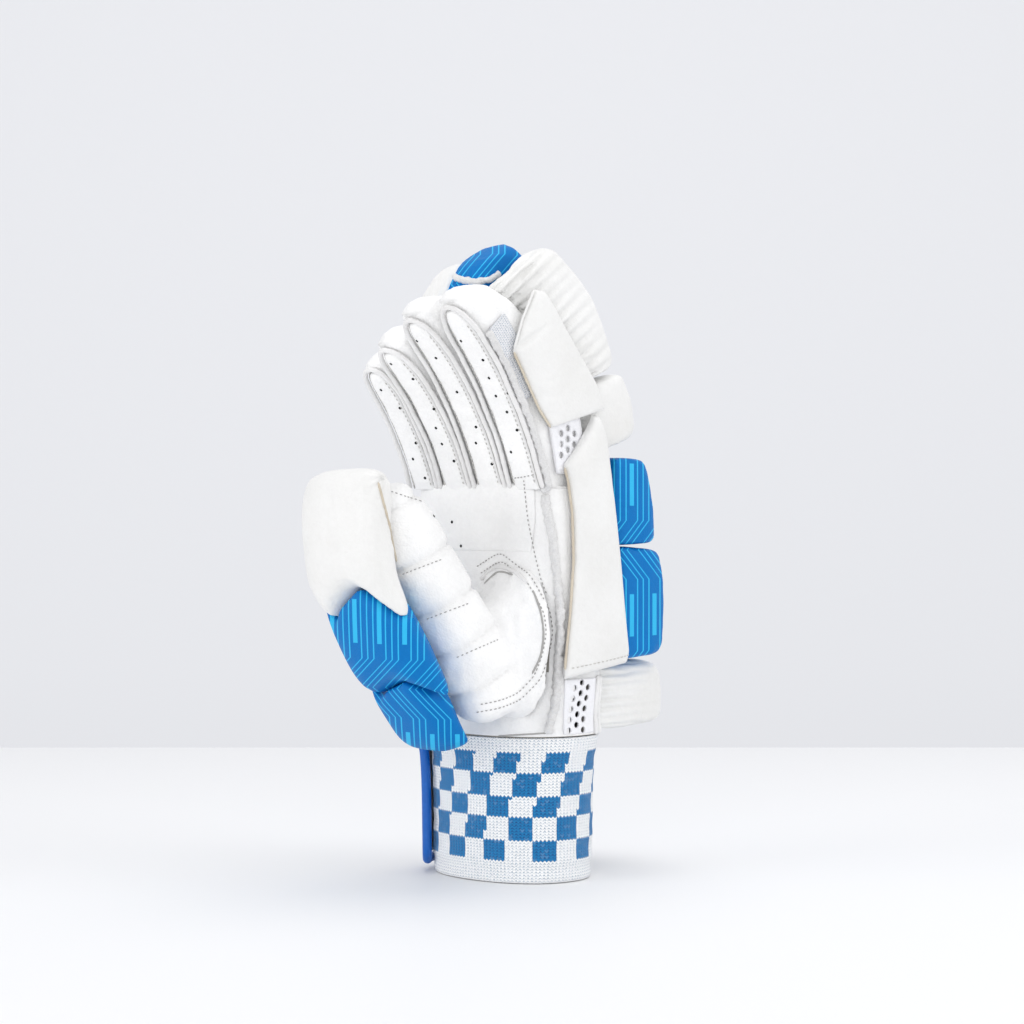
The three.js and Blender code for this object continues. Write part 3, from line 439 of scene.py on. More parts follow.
# %% Studio
TABLE_NEAR, TABLE_FAR, TABLE_SIDE, TABLE_DROP = 1.6, -0.64, 3, 0.0003
WALL_BEHIND, WALL_SIDE, WALL_LOW, WALL_HIGH = 1.7, 5, -2, 4
LAMP_AIM = 0.15


def studio_plane(name, corners, finish):
    """A flat sheet; each corner is so far ahead of the glove, to its right and up."""
    mesh = bpy.data.meshes.new(name)
    places = [middle + towards_camera * ahead + right * side + Vector((0, 0, up))
              for ahead, side, up in corners]
    mesh.from_pydata(places, [], [(0, 1, 2, 3)])
    plane = show(name, mesh, finish)


def soft_lamp(name, side, ahead, height, size, power):
    """A square lamp, placed from the camera's point of view and aimed at the glove."""
    lamp = bpy.data.lights.new(name, "AREA")
    lamp.energy = power
    lamp.size = size
    stand = bpy.data.objects.new(name, lamp)
    stand.location = middle + Vector((0, 0, height)) + right * side + towards_camera * ahead
    aim = middle + Vector((0, 0, LAMP_AIM)) - stand.location
    stand.rotation_euler = aim.to_track_quat("-Z", "Y").to_euler()
    bpy.context.scene.collection.objects.link(stand)


table_white, table_shader = start_finish("table_white", 0.6)
table_shader.inputs["Base Color"].default_value = (0.86, 0.862, 0.868, 1)
wall_grey, wall_shader = start_finish("wall_grey", 0.9)
wall_shader.inputs["Base Color"].default_value = (0.55, 0.555, 0.57, 1)
wall_shader.inputs["Emission Color"].default_value = (0.86, 0.87, 0.9, 1)
wall_shader.inputs["Emission Strength"].default_value = 0.36
studio_plane("table", [(TABLE_NEAR, -TABLE_SIDE, -TABLE_DROP), (TABLE_NEAR, TABLE_SIDE, -TABLE_DROP),
                       (TABLE_FAR, TABLE_SIDE, -TABLE_DROP), (TABLE_FAR, -TABLE_SIDE, -TABLE_DROP)],
             table_white)
studio_plane("wall", [(-WALL_BEHIND, -WALL_SIDE, WALL_LOW), (-WALL_BEHIND, WALL_SIDE, WALL_LOW),
                      (-WALL_BEHIND, WALL_SIDE, WALL_HIGH), (-WALL_BEHIND, -WALL_SIDE, WALL_HIGH)],
             wall_grey)
soft_lamp("right_lamp", 1.3, 0.5, 0.7, 0.9, 4.6)
soft_lamp("left_lamp", -1.5, 0.7, 0.5, 1.0, 6.7)
soft_lamp("top_lamp", 0.2, 0.0, 1.6, 1.2, 9.0)
soft_lamp("front_lamp", -0.2, 1.9, 0.5, 1.0, 6.4)
world = bpy.data.worlds.new("studio_air")
world.use_nodes = True
world.node_tree.nodes["Background"].inputs["Color"].default_value = (0.97, 0.975, 1.0, 1)
world.node_tree.nodes["Background"].inputs["Strength"].default_value = 0.68
bpy.context.scene.world = world
bpy.context.scene.view_settings.view_transform = "Standard"
print("lamps", len(bpy.data.lights))

# %% [markdown]
# The wristband is a knitted tube. A grid of the way round and the height makes it, with the fold of
# the hem near the rim and the flare at the hand. The inside is a second, smaller tube that joins it
# over the rims, so the band has a real wall and stays open for the wrist.

# %% Wristband
BAND_WIDTH, BAND_DEPTH, BAND_HEIGHT, BAND_WALL = 84.0, 62.0, 68.0, 3.0
CHECKS_ROUND = 20
BAND_ROWS = [
    {"at": 0, "girth": 0.965}, {"at": 0.04, "girth": 0.99}, {"at": 0.1, "girth": 0.98},
    {"at": 0.14, "girth": 1}, {"at": 0.6, "girth": 1.01}, {"at": 0.85, "girth": 1.03},
    {"at": 1, "girth": 1.09},
]


def band_point(angle, z, lift):
    """A point of the band at an angle and a height, so far off its outer face."""
    girth = read(BAND_ROWS, "girth", np.asarray(z) / BAND_HEIGHT, 0.015)
    x = (girth * BAND_WIDTH / 2 + lift) * squared(np.cos(angle), 2.2)
    y = (girth * BAND_DEPTH / 2 + lift) * squared(np.sin(angle), 2.2)
    return np.stack(np.broadcast_arrays(x, y, z), axis=-1)


around_band = np.radians(np.linspace(-225, 135, 300, endpoint=False))
up_band = np.concatenate([[0.5, 0.0], np.linspace(0.3, 67.6, 104), [BAND_HEIGHT]])
walls = np.concatenate([[-1.6, -0.4], np.zeros(104), [-0.5]])
down_band = np.array([BAND_HEIGHT, 66.5, 50.0, 30.0, 12.0, 1.5, 0.5])
inner_walls = np.array([-1.6, *[-BAND_WALL] * 5, -2.6])
heights = np.concatenate([up_band, down_band])[:, None]
lifts = np.concatenate([walls, inner_walls])[:, None]
band_grid = band_point(around_band[None, :], heights, lifts)
swell = 0.35 * cloud(band_grid, 16.0, 3) + 0.12 * np.cos(heights * 2 * math.pi / CHECK_TALL)
swell = np.where(lifts > -0.1, swell, 0)
out = np.stack([np.cos(around_band), np.sin(around_band), 0 * around_band], axis=-1)
band_grid = band_grid + swell[..., None] * out[None]
step = np.linalg.norm(np.diff(band_grid[60], axis=0, append=band_grid[60, :1]), axis=-1)
way_round = np.concatenate([[0], np.cumsum(step)[:-1]]) * CHECKS_ROUND * CHECK_ROUND / step.sum()
way_round -= np.interp(math.radians(-45), around_band, way_round)
band_flat = np.stack(np.broadcast_arrays(way_round[None, :], heights), axis=-1)
band = lay_skin("knitted_band", band_grid, band_knit, band_flat, around=True, loop=True)
wear(band, "knit", "wristband")
print("band: way round", round(step.sum(), 1), "mm")

# %% [markdown]
# Piping, rims, bindings and welts are all round cords of leather or rubber that follow a path. One
# helper smooths the path, sweeps a ring along it and tapers both ends. A path may carry lumps, as
# a sewn cord does.

# %% Cords of leather along a path
def smooth_path(points, step=0.8, rounds=12):
    """Even steps along a path, with its corners rounded off a little in each round."""
    points = np.asarray(points, float)
    run = np.concatenate([[0], np.cumsum(np.linalg.norm(np.diff(points, axis=0), axis=1))])
    even = np.linspace(0, run[-1], max(8, int(run[-1] / step)))
    path = np.stack([np.interp(even, run, points[:, k]) for k in range(3)], axis=1)
    for _ in range(rounds):
        path[1:-1] = 0.25 * path[:-2] + 0.5 * path[1:-1] + 0.25 * path[2:]
    return path


def run_cord(name, path, width, finish, sides=10, lumps=0.0, seed=1):
    """A round cord along a path; lumps is the share by which its thickness varies."""
    along = np.gradient(path, axis=0)
    along /= np.linalg.norm(along, axis=1, keepdims=True)
    side = np.cross(along, [0.0, 0.0, 1.0])
    side /= np.maximum(np.linalg.norm(side, axis=1, keepdims=True), 1e-6)
    for k in range(1, len(side)):
        if np.dot(side[k], side[k - 1]) < 0:
            side[k] = -side[k]
    over = np.cross(side, along)
    turn = np.linspace(0, 2 * math.pi, sides, endpoint=False)
    radius = np.full(len(path), width / 2)
    radius[0] = radius[-1] = 0.05
    radius[1] = radius[-2] = width * 0.4
    ring = side[:, None] * np.cos(turn)[:, None] + over[:, None] * np.sin(turn)[:, None]
    offset = ring * radius[:, None, None]
    if lumps:
        offset = offset * (1 + lumps * cloud(path[:, None] + offset, 1.6, seed))[..., None]
    return lay_skin(name, path[:, None] + offset, finish, around=True)

# %% [markdown]
# The strap tab is a stiff plate on the little-finger side of the band, with a fat blue rubber rim on
# its two long edges and its outer end. The plate follows the band's curve at a small distance.

# %% Strap tab
TAB_GAP, TAB_WALL, TAB_BORDER, TAB_HEIGHT, TAB_LIFT = 1.2, 2.4, 4.6, 52.0, 4.0


def tab_point(share, height, lift):
    """A point over the band; share runs along the tab and height up it, both from 0 to 1."""
    angle = np.radians(150 + 76 * np.asarray(share, float))
    return band_point(angle, TAB_LIFT + TAB_BORDER + np.asarray(height, float) * TAB_HEIGHT, lift)


def lay_plate(name, over, under, finish, flat=None):
    """A closed plate from an upper and a lower grid, folded shut at both ends."""
    ring = np.concatenate([over, under[:, ::-1]], axis=1)
    middle_rows = (over + under) / 2
    shut = [np.concatenate([middle_rows[k], middle_rows[k][::-1]], axis=0)[None] for k in (0, -1)]
    grid = np.concatenate([shut[0], ring, shut[1]], axis=0)
    if flat is not None:
        flat = np.concatenate([flat, flat[:, ::-1]], axis=1)
        flat = np.concatenate([flat[:1], flat, flat[-1:]], axis=0)
    return lay_skin(name, grid, finish, flat, around=True)


u, v = np.meshgrid(np.linspace(0, 1, 50), np.linspace(0, 1, 40))
dome = 1 - 0.5 * np.abs(2 * v - 1) ** 8 - 0.5 * np.abs(2 * u - 1) ** 12
tab = lay_plate("tab_face", tab_point(u, v, TAB_GAP + TAB_WALL * dome),
                tab_point(u, v, TAB_GAP + 0 * u), cream_leather)
wear(tab, "leather_white", "tab_plate")
middle_lift = TAB_GAP + TAB_WALL / 2 + TAB_BORDER / 4
clear = (TAB_BORDER / 2 + 1.2) / TAB_HEIGHT
along_tab = (0, 0.25, 0.5, 0.75, 0.96)
rim_points = [tab_point(s, 1 + clear, middle_lift) for s in along_tab]
rim_points += [tab_point(1.09, h, middle_lift + TAB_BORDER * 0.1) for h in (0.97, 0.75, 0.5, 0.25, 0.03)]
rim_points += [tab_point(s, -clear, middle_lift) for s in along_tab[::-1]]
rim = run_cord("tab_rim", smooth_path(rim_points, 0.8, 20), TAB_BORDER, tab_rubber, 18)
wear(rim, "rubber_blue", "tab_border")
print("tab", TAB_HEIGHT, "mm tall")

# %% [markdown]
# Every finger bends along an arc that leans further forward towards its tip. The frame of a finger
# gives the point on its front face at any share of its length, and the direction to its back. All
# that a finger carries is placed from that frame: sleeve, front panel, piping, holes and rolls.

# %% Frames of the fingers
PALM_ROWS = [
    {"at": 0, "x": 0, "y": 0, "width": 0.985, "depth": 1.4, "square": 2.3},
    {"at": 0.08, "x": 0.01, "y": -0.02, "width": 0.97, "depth": 1.22, "square": 2.6},
    {"at": 0.2, "x": 0.03, "y": -0.07, "width": 1, "depth": 1.08, "square": 3},
    {"at": 0.4, "x": 0.045, "y": -0.1, "width": 1.01, "depth": 1.02, "square": 3.4},
    {"at": 0.7, "x": 0.055, "y": -0.11, "width": 1.01, "depth": 1, "square": 3.8},
    {"at": 1, "x": 0.0595, "y": -0.107, "width": 1.005, "depth": 1, "square": 4.5},
]
PALM_FRONT = (PALM_ROWS[-1]["y"] - 0.5) * PALM_DEPTH
FINGER_GAP, FINGER_START = 0.6, math.radians(18)
FINGER_SPECS = [("little", 0.232, 68.0, 46.0), ("ring", 0.25, 82.0, 54.0),
                ("middle", 0.256, 96.0, 51.0), ("index", 0.262, 99.0, 47.0)]
FINGERS = {}
left = PALM_ROWS[-1]["x"] * PALM_WIDTH - PALM_WIDTH / 2
for name, share, length, lean in FINGER_SPECS:
    width = share * (PALM_WIDTH - 3 * FINGER_GAP)
    FINGERS[name] = {"name": name, "x": left + width / 2, "width": width, "length": length, "lean": lean}
    left += width + FINGER_GAP


def finger_frame(finger, share):
    """The point on the front face at a share of the finger's length, and the way to its back."""
    share = np.asarray(share, float)
    turn = math.radians(finger["lean"]) - FINGER_START
    radius = finger["length"] / turn
    lean = FINGER_START + turn * share
    y = PALM_FRONT - radius * (math.cos(FINGER_START) - np.cos(lean))
    z = FINGER_Z + radius * (np.sin(lean) - math.sin(FINGER_START))
    tilt = lean * np.clip(share / 0.12, 0, 1)
    front = np.stack([np.full_like(share, finger["x"]), y, z], axis=-1)
    back = np.stack([np.zeros_like(share), np.cos(tilt), np.sin(tilt)], axis=-1)
    return front, back


print("fingers", {name: round(f["x"], 1) for name, f in FINGERS.items()})

# %% [markdown]
# A sleeve is a tube with a soft square section. It narrows in depth towards the tip, closes there,
# and is hollow below, where the finger goes in. Shallow hills over it stand for worn leather.

# %% Finger sleeves
FINGER_ROWS = [
    {"at": 0, "width": 1, "depth": 1}, {"at": 0.12, "width": 1, "depth": 1},
    {"at": 0.35, "width": 0.99, "depth": 1}, {"at": 0.6, "width": 0.98, "depth": 0.92},
    {"at": 0.8, "width": 0.97, "depth": 0.75}, {"at": 0.92, "width": 0.9, "depth": 0.57},
    {"at": 0.97, "width": 0.74, "depth": 0.4}, {"at": 0.99, "width": 0.5, "depth": 0.25},
]


def finger_ring(finger, share, inset, turn):
    """The finger's section at each share of its length, so far inside the leather's outer face."""
    front, back = finger_frame(finger, share)
    half = read(FINGER_ROWS, "width", share, 0.01) * finger["width"] / 2 - inset
    deep = read(FINGER_ROWS, "depth", share, 0.01) * FINGER_DEPTH / 2
    centre = front + back * deep[..., None]
    towards_back = (deep - inset)[:, None] * squared(np.sin(turn), 4)
    ring = centre[:, None] + back[:, None] * towards_back[..., None]
    ring[..., 0] += half[:, None] * squared(np.cos(turn), 4)[None]
    return ring


def sleeve(finger):
    corner = np.linspace(0, 2 * math.pi, 88, endpoint=False)
    turn = corner - 0.2 * np.sin(4 * corner)
    shares = np.concatenate([np.linspace(0, 0.9, 84), np.linspace(0.91, 0.99, 12)])
    outer = finger_ring(finger, shares, 0, turn)
    inner = finger_ring(finger, np.array([0.9, 0.75, 0.5, 0.25, 0.0]), LEATHER, turn)
    hills = 0.45 * cloud(outer, 9.0, 5) + 0.2 * cloud(outer, 4.0, 6) - 0.25
    outer[1:-1] = (outer + outward(outer) * hills[..., None])[1:-1]
    tip = np.broadcast_to(outer[-1].mean(axis=0), outer[-1].shape)[None]
    blind = np.broadcast_to(inner[0].mean(axis=0), inner[0].shape)[None]
    grid = np.concatenate([blind, inner, outer, tip], axis=0)
    piece = lay_skin(f"sleeve_{finger['name']}", grid, palm_leather, around=True)
    return wear(piece, "palm_leather", f"finger_{finger['name']}")


for finger in FINGERS.values():
    print(sleeve(finger).name, round(finger["width"], 1), "mm wide")

# %% [markdown]
# The front of each finger is its own strip of leather with a round end. It crowns a little between
# its edges, and small creases cross it where the finger bends. A white piping follows its edge and
# turns round the end.

# %% Finger fronts and their piping
FRONT_SHARE, FRONT_FROM, FRONT_TO = 0.66, 0.01, 0.95
FRONT_UNDER = -0.025
FRONT_ROWS = [
    {"at": 0, "width": 1}, {"at": 0.8, "width": 0.97}, {"at": 0.88, "width": 0.9},
    {"at": 0.94, "width": 0.74}, {"at": 0.98, "width": 0.5}, {"at": 1, "width": 0.24},
]
PIPING = 2.4


def front_grid(finger, side, share, lift):
    """Points of the front: side runs from -1 to 1 across it, and lift is the height over the sleeve."""
    front, back = finger_frame(finger, FRONT_FROM + (FRONT_TO - FRONT_FROM) * share)
    half = read(FRONT_ROWS, "width", share, 0.008) * FRONT_SHARE * finger["width"] / 2
    point = front - back * lift[..., None]
    point[..., 0] += side * half
    return point


def finger_front(finger):
    side, share = np.meshgrid(np.linspace(-1, 1, 33), np.linspace(FRONT_UNDER, 1, 134))
    rounding = (1 - np.abs(side) ** 5) ** 0.5 * (1 - np.abs(share) ** 40) ** 0.5
    rounding *= np.clip(0.5 + (share - FRONT_UNDER) * 8, 0, 1)
    flat_points = front_grid(finger, side, share, 0 * side)
    creases = 0.35 * cloud(flat_points * [0.35, 1, 1], 4.0, 11)
    creases *= np.sin(math.pi * np.clip(share, 0, 1))
    hills = 0.4 * cloud(flat_points, 10.0, 12)
    thick = 1.7 + 0.9 * (1 - side ** 2) + creases + hills
    over = front_grid(finger, side, share, 0.5 + rounding * thick)
    under = front_grid(finger, side, share, 0.25 + 0 * side)
    piece = lay_plate(f"front_panel_{finger['name']}", over, under, palm_leather)
    wear(piece, "palm_leather", f"front_{finger['name']}")


def piping_path(finger, clear, rise):
    """Round the front's edge, at a clear distance outside it and so high over the sleeve."""
    def place(side, share):
        turn = math.pi / 2 * max(0, (share - 0.84) / 0.16)
        half = read(FRONT_ROWS, "width", share, 0.008) * FRONT_SHARE * finger["width"] / 2
        along = FRONT_FROM + (FRONT_TO - FRONT_FROM) * share
        along += clear * math.sin(turn) / finger["length"]
        front, back = finger_frame(finger, along)
        return front - back * rise + [side * (half + clear * math.cos(turn)), 0, 0]
    shares = [-0.02, 0.15, 0.3, 0.45, 0.6, 0.72, 0.8, 0.85, 0.88, 0.91, 0.94, 0.96, 0.98]
    path = [place(-1, s) for s in shares] + [place(0, 1.0)] + [place(1, s) for s in shares[::-1]]
    path = smooth_path(path, 0.7, 6)
    path[:, 0] += 0.45 * cloud(path, 11.0, 22)
    return path


for finger in FINGERS.values():
    finger_front(finger)
    path = piping_path(finger, 0.3 + PIPING * 0.95, 0.3 + PIPING / 2)
    cord = run_cord(f"piping_cord_{finger['name']}", path, PIPING, piping_leather, 10, 0.12, 21)
    wear(cord, "leather_white", f"piping_{finger['name']}")
    # A thin grey cord lies in the valley between the front and its piping: painted shade for the crevice
    # of that seam.
    path = piping_path(finger, 0.2, 0.75)
    valley = run_cord(f"piping_shade_line_{finger['name']}", path, 0.8, thread_and_shade_grey, 6)
    wear(valley, "palm_leather")
print("fronts and pipings laid")

# %% [markdown]
# The palm is one soft skin over the hollow hand. It follows the same table of sections as the solid,
# half a millimetre outside it, with hills and creases where the leather gathers at the thumb and
# at the heel. It is left open where the thumb goes in and behind the pierced vent. The solids of
# the hand stay under it as its lining.

# %% Palm skin
def palm_point(angle, height, lift):
    """A point round the hand at an angle, at a share of its height and so far off its face."""
    x = read(PALM_ROWS, "x", height, 0.02) * PALM_WIDTH
    y = read(PALM_ROWS, "y", height, 0.02) * PALM_DEPTH
    wide = read(PALM_ROWS, "width", height, 0.02) * PALM_WIDTH / 2 + lift
    deep = read(PALM_ROWS, "depth", height, 0.02) * PALM_DEPTH / 2 + lift
    square = read(PALM_ROWS, "square", height, 0.02)
    return np.stack(np.broadcast_arrays(x + wide * squared(np.cos(angle), square),
                                        y + deep * squared(np.sin(angle), square),
                                        WRIST_Z + height * PALM_HEIGHT), axis=-1)


WEB_X, WEB_Z = (0.045 + 0.24) * PALM_WIDTH, WRIST_Z + 0.1 * PALM_HEIGHT + 0.285 * THUMB_LENGTH
WEB_WIDE, WEB_TALL = 1.5 * THUMB_WIDTH / 2, 2.3 * THUMB_WIDTH / 2
HEEL_Z = 76
WINDOW_Z, WINDOW_HALF_WIDE, WINDOW_HALF_TALL = 82.2, 7.2, 12.4


def in_web(points, margin):
    """How far a point on the palm lies inside the oval where the thumb's web is sewn in."""
    x = np.abs(points[..., 0] - WEB_X) / (WEB_WIDE + margin)
    z = np.abs(points[..., 2] - WEB_Z) / (WEB_TALL + margin)
    return (x ** 2.4 + z ** 2.4) ** (1 / 2.4)


turn = np.linspace(0, 2 * math.pi, 220, endpoint=False)
turn = turn - 0.2 * np.sin(4 * turn)
height = np.linspace(0.004, 0.996, 130)
palm_grid = palm_point(turn[None, :], height[:, None], 0.45 + 0 * turn[None, :])
out = outward(palm_grid)
on_front = np.clip(-out[..., 1], 0, 1)
hills = 0.5 * cloud(palm_grid, 14.0, 31) + 0.25 * cloud(palm_grid, 5.0, 32)
heel = 0.5 * np.exp(-((palm_grid[..., 2] - HEEL_Z) / 6) ** 2) * cloud(palm_grid * [1, 1, 0.4], 4.0, 33)
rim = in_web(palm_grid, 0.0)
puckers = 0.5 * np.exp(-((rim - 1.07) / 0.06) ** 2) * on_front
palm_grid = palm_grid + out * (0.35 + hills * 0.6 + heel + puckers)[..., None]
window = ((palm_grid[..., 0] > 30) & (np.abs(palm_grid[..., 1]) < WINDOW_HALF_WIDE)
          & (np.abs(palm_grid[..., 2] - WINDOW_Z) < WINDOW_HALF_TALL))
thumb_hole = (in_web(palm_grid, -4.0) < 1) & (palm_grid[..., 1] < 0)
palm = lay_skin("palm_skin", palm_grid, palm_leather, around=True)
cut_away(palm.data, (window | thumb_hole).ravel())
wear(palm, "palm_leather")
for name in ("palm_body", "hand_back"):
    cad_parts[name].data.materials.clear()
    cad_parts[name].data.materials.append(lining)
print("palm skin faces", len(palm.data.polygons))

# %% [markdown]
# A second layer of leather lies under the finger roots. It is a plate with thin edges, pressed on
# to the palm. It ends above the thumb and reaches a little under the finger fronts.

# %% Palm patch
across, up = np.meshgrid(np.linspace(0, 1, 90), np.linspace(0, 1, 40))
patch_left = np.interp(up, [0, 0.5, 1], [212, 214, 218])
patch_right = np.interp(up, [0, 0.5, 1], [304, 308, 306])
patch_angle = np.radians(patch_left + (patch_right - patch_left) * across)
patch_height = 0.745 + 0.275 * up
thin = (1 - np.abs(2 * across - 1) ** 24) ** 0.5 * (1 - np.abs(2 * up - 1) ** 16) ** 0.5
patch_base = palm_point(patch_angle, patch_height, 0 * up)
patch_hills = 0.35 * cloud(patch_base, 12.0, 35)
patch_over = palm_point(patch_angle, patch_height, 0.9 + (0.75 + patch_hills) * thin)
patch_under = palm_point(patch_angle, patch_height, 0.5 + 0 * up)
patch = lay_plate("palm_patch_leather", patch_over, patch_under, palm_leather)
wear(patch, "palm_leather", "palm_patch")
print("patch faces", len(patch.data.polygons))

# %% [markdown]
# The thumb is a leaning tube of leather joined to the palm by a flared web. Both are simple lofts.
# A voxel remesh melts them into one skin, smoothing rounds the joint, and then the cross seams are
# pressed in as shallow valleys with puffy leather between them.

# %% Sizes of the thumb, and helpers that melt and move a mesh
THUMB_ROOT = np.array([WEB_X, PALM_FRONT - 0.16 * PALM_DEPTH, WRIST_Z + 0.1 * PALM_HEIGHT])
THUMB_LEAN = np.array([-0.205, -0.42, 0.89])
THUMB_ROWS = [(0, 0.56), (0.05, 0.96), (0.2, 1.1), (0.5, 1), (0.78, 0.92), (0.92, 0.8), (0.98, 0.56),
              (1, 0.34)]
WEB_ROWS = [(-0.22, 0.29, 1.56, 2.4), (0.04, 0.285, 1.5, 2.3), (0.13, 0.275, 1.22, 1.9),
            (0.4, 0.26, 0.8, 1.2)]
THUMB_SEAMS = (0.15, 0.325, 0.5, 0.7, 0.93)
TUBE_REACH, THUMB_BEHIND, THUMB_CELL = 17, 3.5, 0.0016


def closed_loft(name, rings, finish):
    """A tube through rings of points, with both ends drawn shut."""
    ends = [np.broadcast_to(ring.mean(axis=0), ring.shape) for ring in (rings[0], rings[-1])]
    return lay_skin(name, np.stack([ends[0], *rings, ends[1]]), finish, around=True)


def melt(piece, voxel, rounds):
    """Remesh into even cells and smooth, as one plain mesh."""
    for kind, settings in (("REMESH", {"mode": "VOXEL", "voxel_size": voxel}),
                           ("SMOOTH", {"factor": 0.5, "iterations": rounds})):
        modifier = piece.modifiers.new(kind.lower(), kind)
        for key, value in settings.items():
            setattr(modifier, key, value)
    return bake_shape(piece)


def bake_shape(piece):
    """The piece as its modifiers leave it, as a plain mesh."""
    graph = bpy.context.evaluated_depsgraph_get()
    mesh = bpy.data.meshes.new_from_object(piece.evaluated_get(graph), depsgraph=graph)
    old = piece.data
    piece.modifiers.clear()
    piece.data = mesh
    bpy.data.meshes.remove(old)
    mesh.shade_smooth()
    return piece


def points_of(piece):
    """The piece's points on the drawing and their outward directions."""
    count = len(piece.data.vertices)
    places = np.empty(count * 3, np.float32)
    outs = np.empty(count * 3, np.float32)
    piece.data.vertices.foreach_get("co", places)
    piece.data.vertex_normals.foreach_get("vector", outs)
    return to_drawing(places.reshape(-1, 3)), outs.reshape(-1, 3).astype(float)


def set_points(piece, points):
    piece.data.vertices.foreach_set("co", to_room(points).astype(np.float32).ravel())
    piece.data.update()


print("thumb", THUMB_LENGTH, "mm long, with", len(THUMB_SEAMS), "cross seams")

# %% [markdown]
# The tube and the web are drawn with the same ring, which turns square to the thumb's lean for the
# tube and stands upright for the web. After the melting, every point moves along its own outward
# direction: in at the cross seams, out between them, and in and out with the creases of the web.

# %% Thumb and web
ring_turn = np.linspace(0, 2 * math.pi, 64, endpoint=False)
ring_across = squared(np.cos(ring_turn), 2.4)[:, None]
ring_up = squared(np.sin(ring_turn), 2.4)[:, None]
lean = THUMB_LEAN * [0, 1, 1] / np.linalg.norm(THUMB_LEAN[1:])
deep = np.cross(lean, [1, 0, 0])
tube_rings = []
for share in np.linspace(0, 1, 50):
    half = np.interp(share, *zip(*THUMB_ROWS)) * THUMB_WIDTH / 2 + 0.3
    centre = THUMB_ROOT + THUMB_LEAN * share * THUMB_LENGTH
    tube_rings.append(centre + half * ring_across * [1, 0, 0] + half * ring_up * deep)
web_rings = []
for share in np.linspace(0, 1, 24):
    y, z, wide, tall = (np.interp(share, [0, 0.3, 0.65, 1], column) for column in zip(*WEB_ROWS))
    centre = np.array([WEB_X, PALM_FRONT - y * THUMB_WIDTH, THUMB_ROOT[2] + z * THUMB_LENGTH])
    wide, tall = wide * THUMB_WIDTH / 2 + 0.2, tall * THUMB_WIDTH / 2 + 0.2
    web_rings.append(centre + wide * ring_across * [1, 0, 0] + tall * ring_up * [0, 0, 1])
thumb = closed_loft("thumb_skin", tube_rings, palm_leather)
web = closed_loft("web_skin", web_rings, palm_leather)
with bpy.context.temp_override(active_object=thumb, selected_editable_objects=[thumb, web]):
    bpy.ops.object.join()
melt(thumb, THUMB_CELL, 14)
places, outs = points_of(thumb)
run = (places - THUMB_ROOT) @ THUMB_LEAN / THUMB_LENGTH
reach = np.linalg.norm(places - THUMB_ROOT - run[:, None] * THUMB_LEAN * THUMB_LENGTH, axis=1)
on_tube = np.exp(-np.clip(reach - TUBE_REACH, 0, None) / 2)
seams = sum(np.exp(-((run - at) * THUMB_LENGTH / 1.6) ** 2) for at in THUMB_SEAMS)
puff = 0.9 * np.abs(np.sin(math.pi * np.interp(run, [0, *THUMB_SEAMS, 1], range(7)))) ** 0.6
creases = 1.1 * cloud(places * [1.0, 1.0, 0.4], 3.4, 41) + 0.7 * cloud(places, 8.0, 42)
shift = on_tube * (1.3 * puff - 1.6 * seams) + creases * (1 - 0.75 * on_tube)
shift += 0.08 * cloud(places, 3.0, 43)
places += outs * shift[:, None]
set_points(thumb, places)
cut_away(thumb.data, places[:, 1] > PALM_FRONT + THUMB_BEHIND)
thumb.data.materials.clear()
thumb.data.materials.append(palm_leather)
wear(thumb, "palm_leather", "thumb")
print("thumb skin faces", len(thumb.data.polygons))

# %% [markdown]
# Rolls, guard plates and the wrist pad are stuffed leather. Each starts as a copy of its solid,
# which a voxel remesh turns into even cloth. A cloth simulation with inner air pressure then swells
# all the pads together. The swelling is capped, so no pad grows into its neighbour.

# %% Stuffed pads
TIP_FINISH = {"little": (roll_blue, "pad_blue"), "ring": (cream_leather, "leather_white"),
              "middle": (roll_blue, "pad_blue"), "index": (cream_leather, "leather_white")}
PADS = [("guard_tip", cream_leather, "leather_white", 2), ("guard_middle", guard_blue, "pad_blue", 1),
        ("guard_lower", guard_blue, "pad_blue", 1), ("roll_wrist", cream_leather, "leather_white", 2)]
for name in FINGERS:
    PADS.append((f"roll_{name}_tip", *TIP_FINISH[name], 2 if name in ("index", "middle") else 1))
    PADS.append((f"roll_{name}_middle", cream_leather, "leather_white", 1))
    PADS.append((f"roll_{name}_knuckle", roll_blue, "pad_blue", 1))
    PADS.append((f"roll_{name}_hand", roll_blue, "pad_blue", 1))


# Rounds of smoothing before the swelling; the first entry that is part of a name counts.
SOFTNESS = {"guard_tip": 36, "guard": 22, "roll_wrist": 20, "middle_tip": 22, "_tip": 18}
USUAL_SOFTNESS = 8
PAD_CELL = 0.0022
CLOTH_PRESSURE, CLOTH_FRAMES, CLOTH_CAP = 4.0, 20, 0.6


def pad_cloth(node_name, finish):
    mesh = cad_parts[node_name].data.copy()
    merge_doubles(mesh, 1e-6)
    piece = show(f"pad_{node_name}", mesh, finish)
    rounds = next((count for part, count in SOFTNESS.items() if part in node_name), USUAL_SOFTNESS)
    melt(piece, PAD_CELL, rounds)
    places, outs = points_of(piece)
    set_points(piece, places + outs * (0.025 * rounds - 0.3))
    return piece


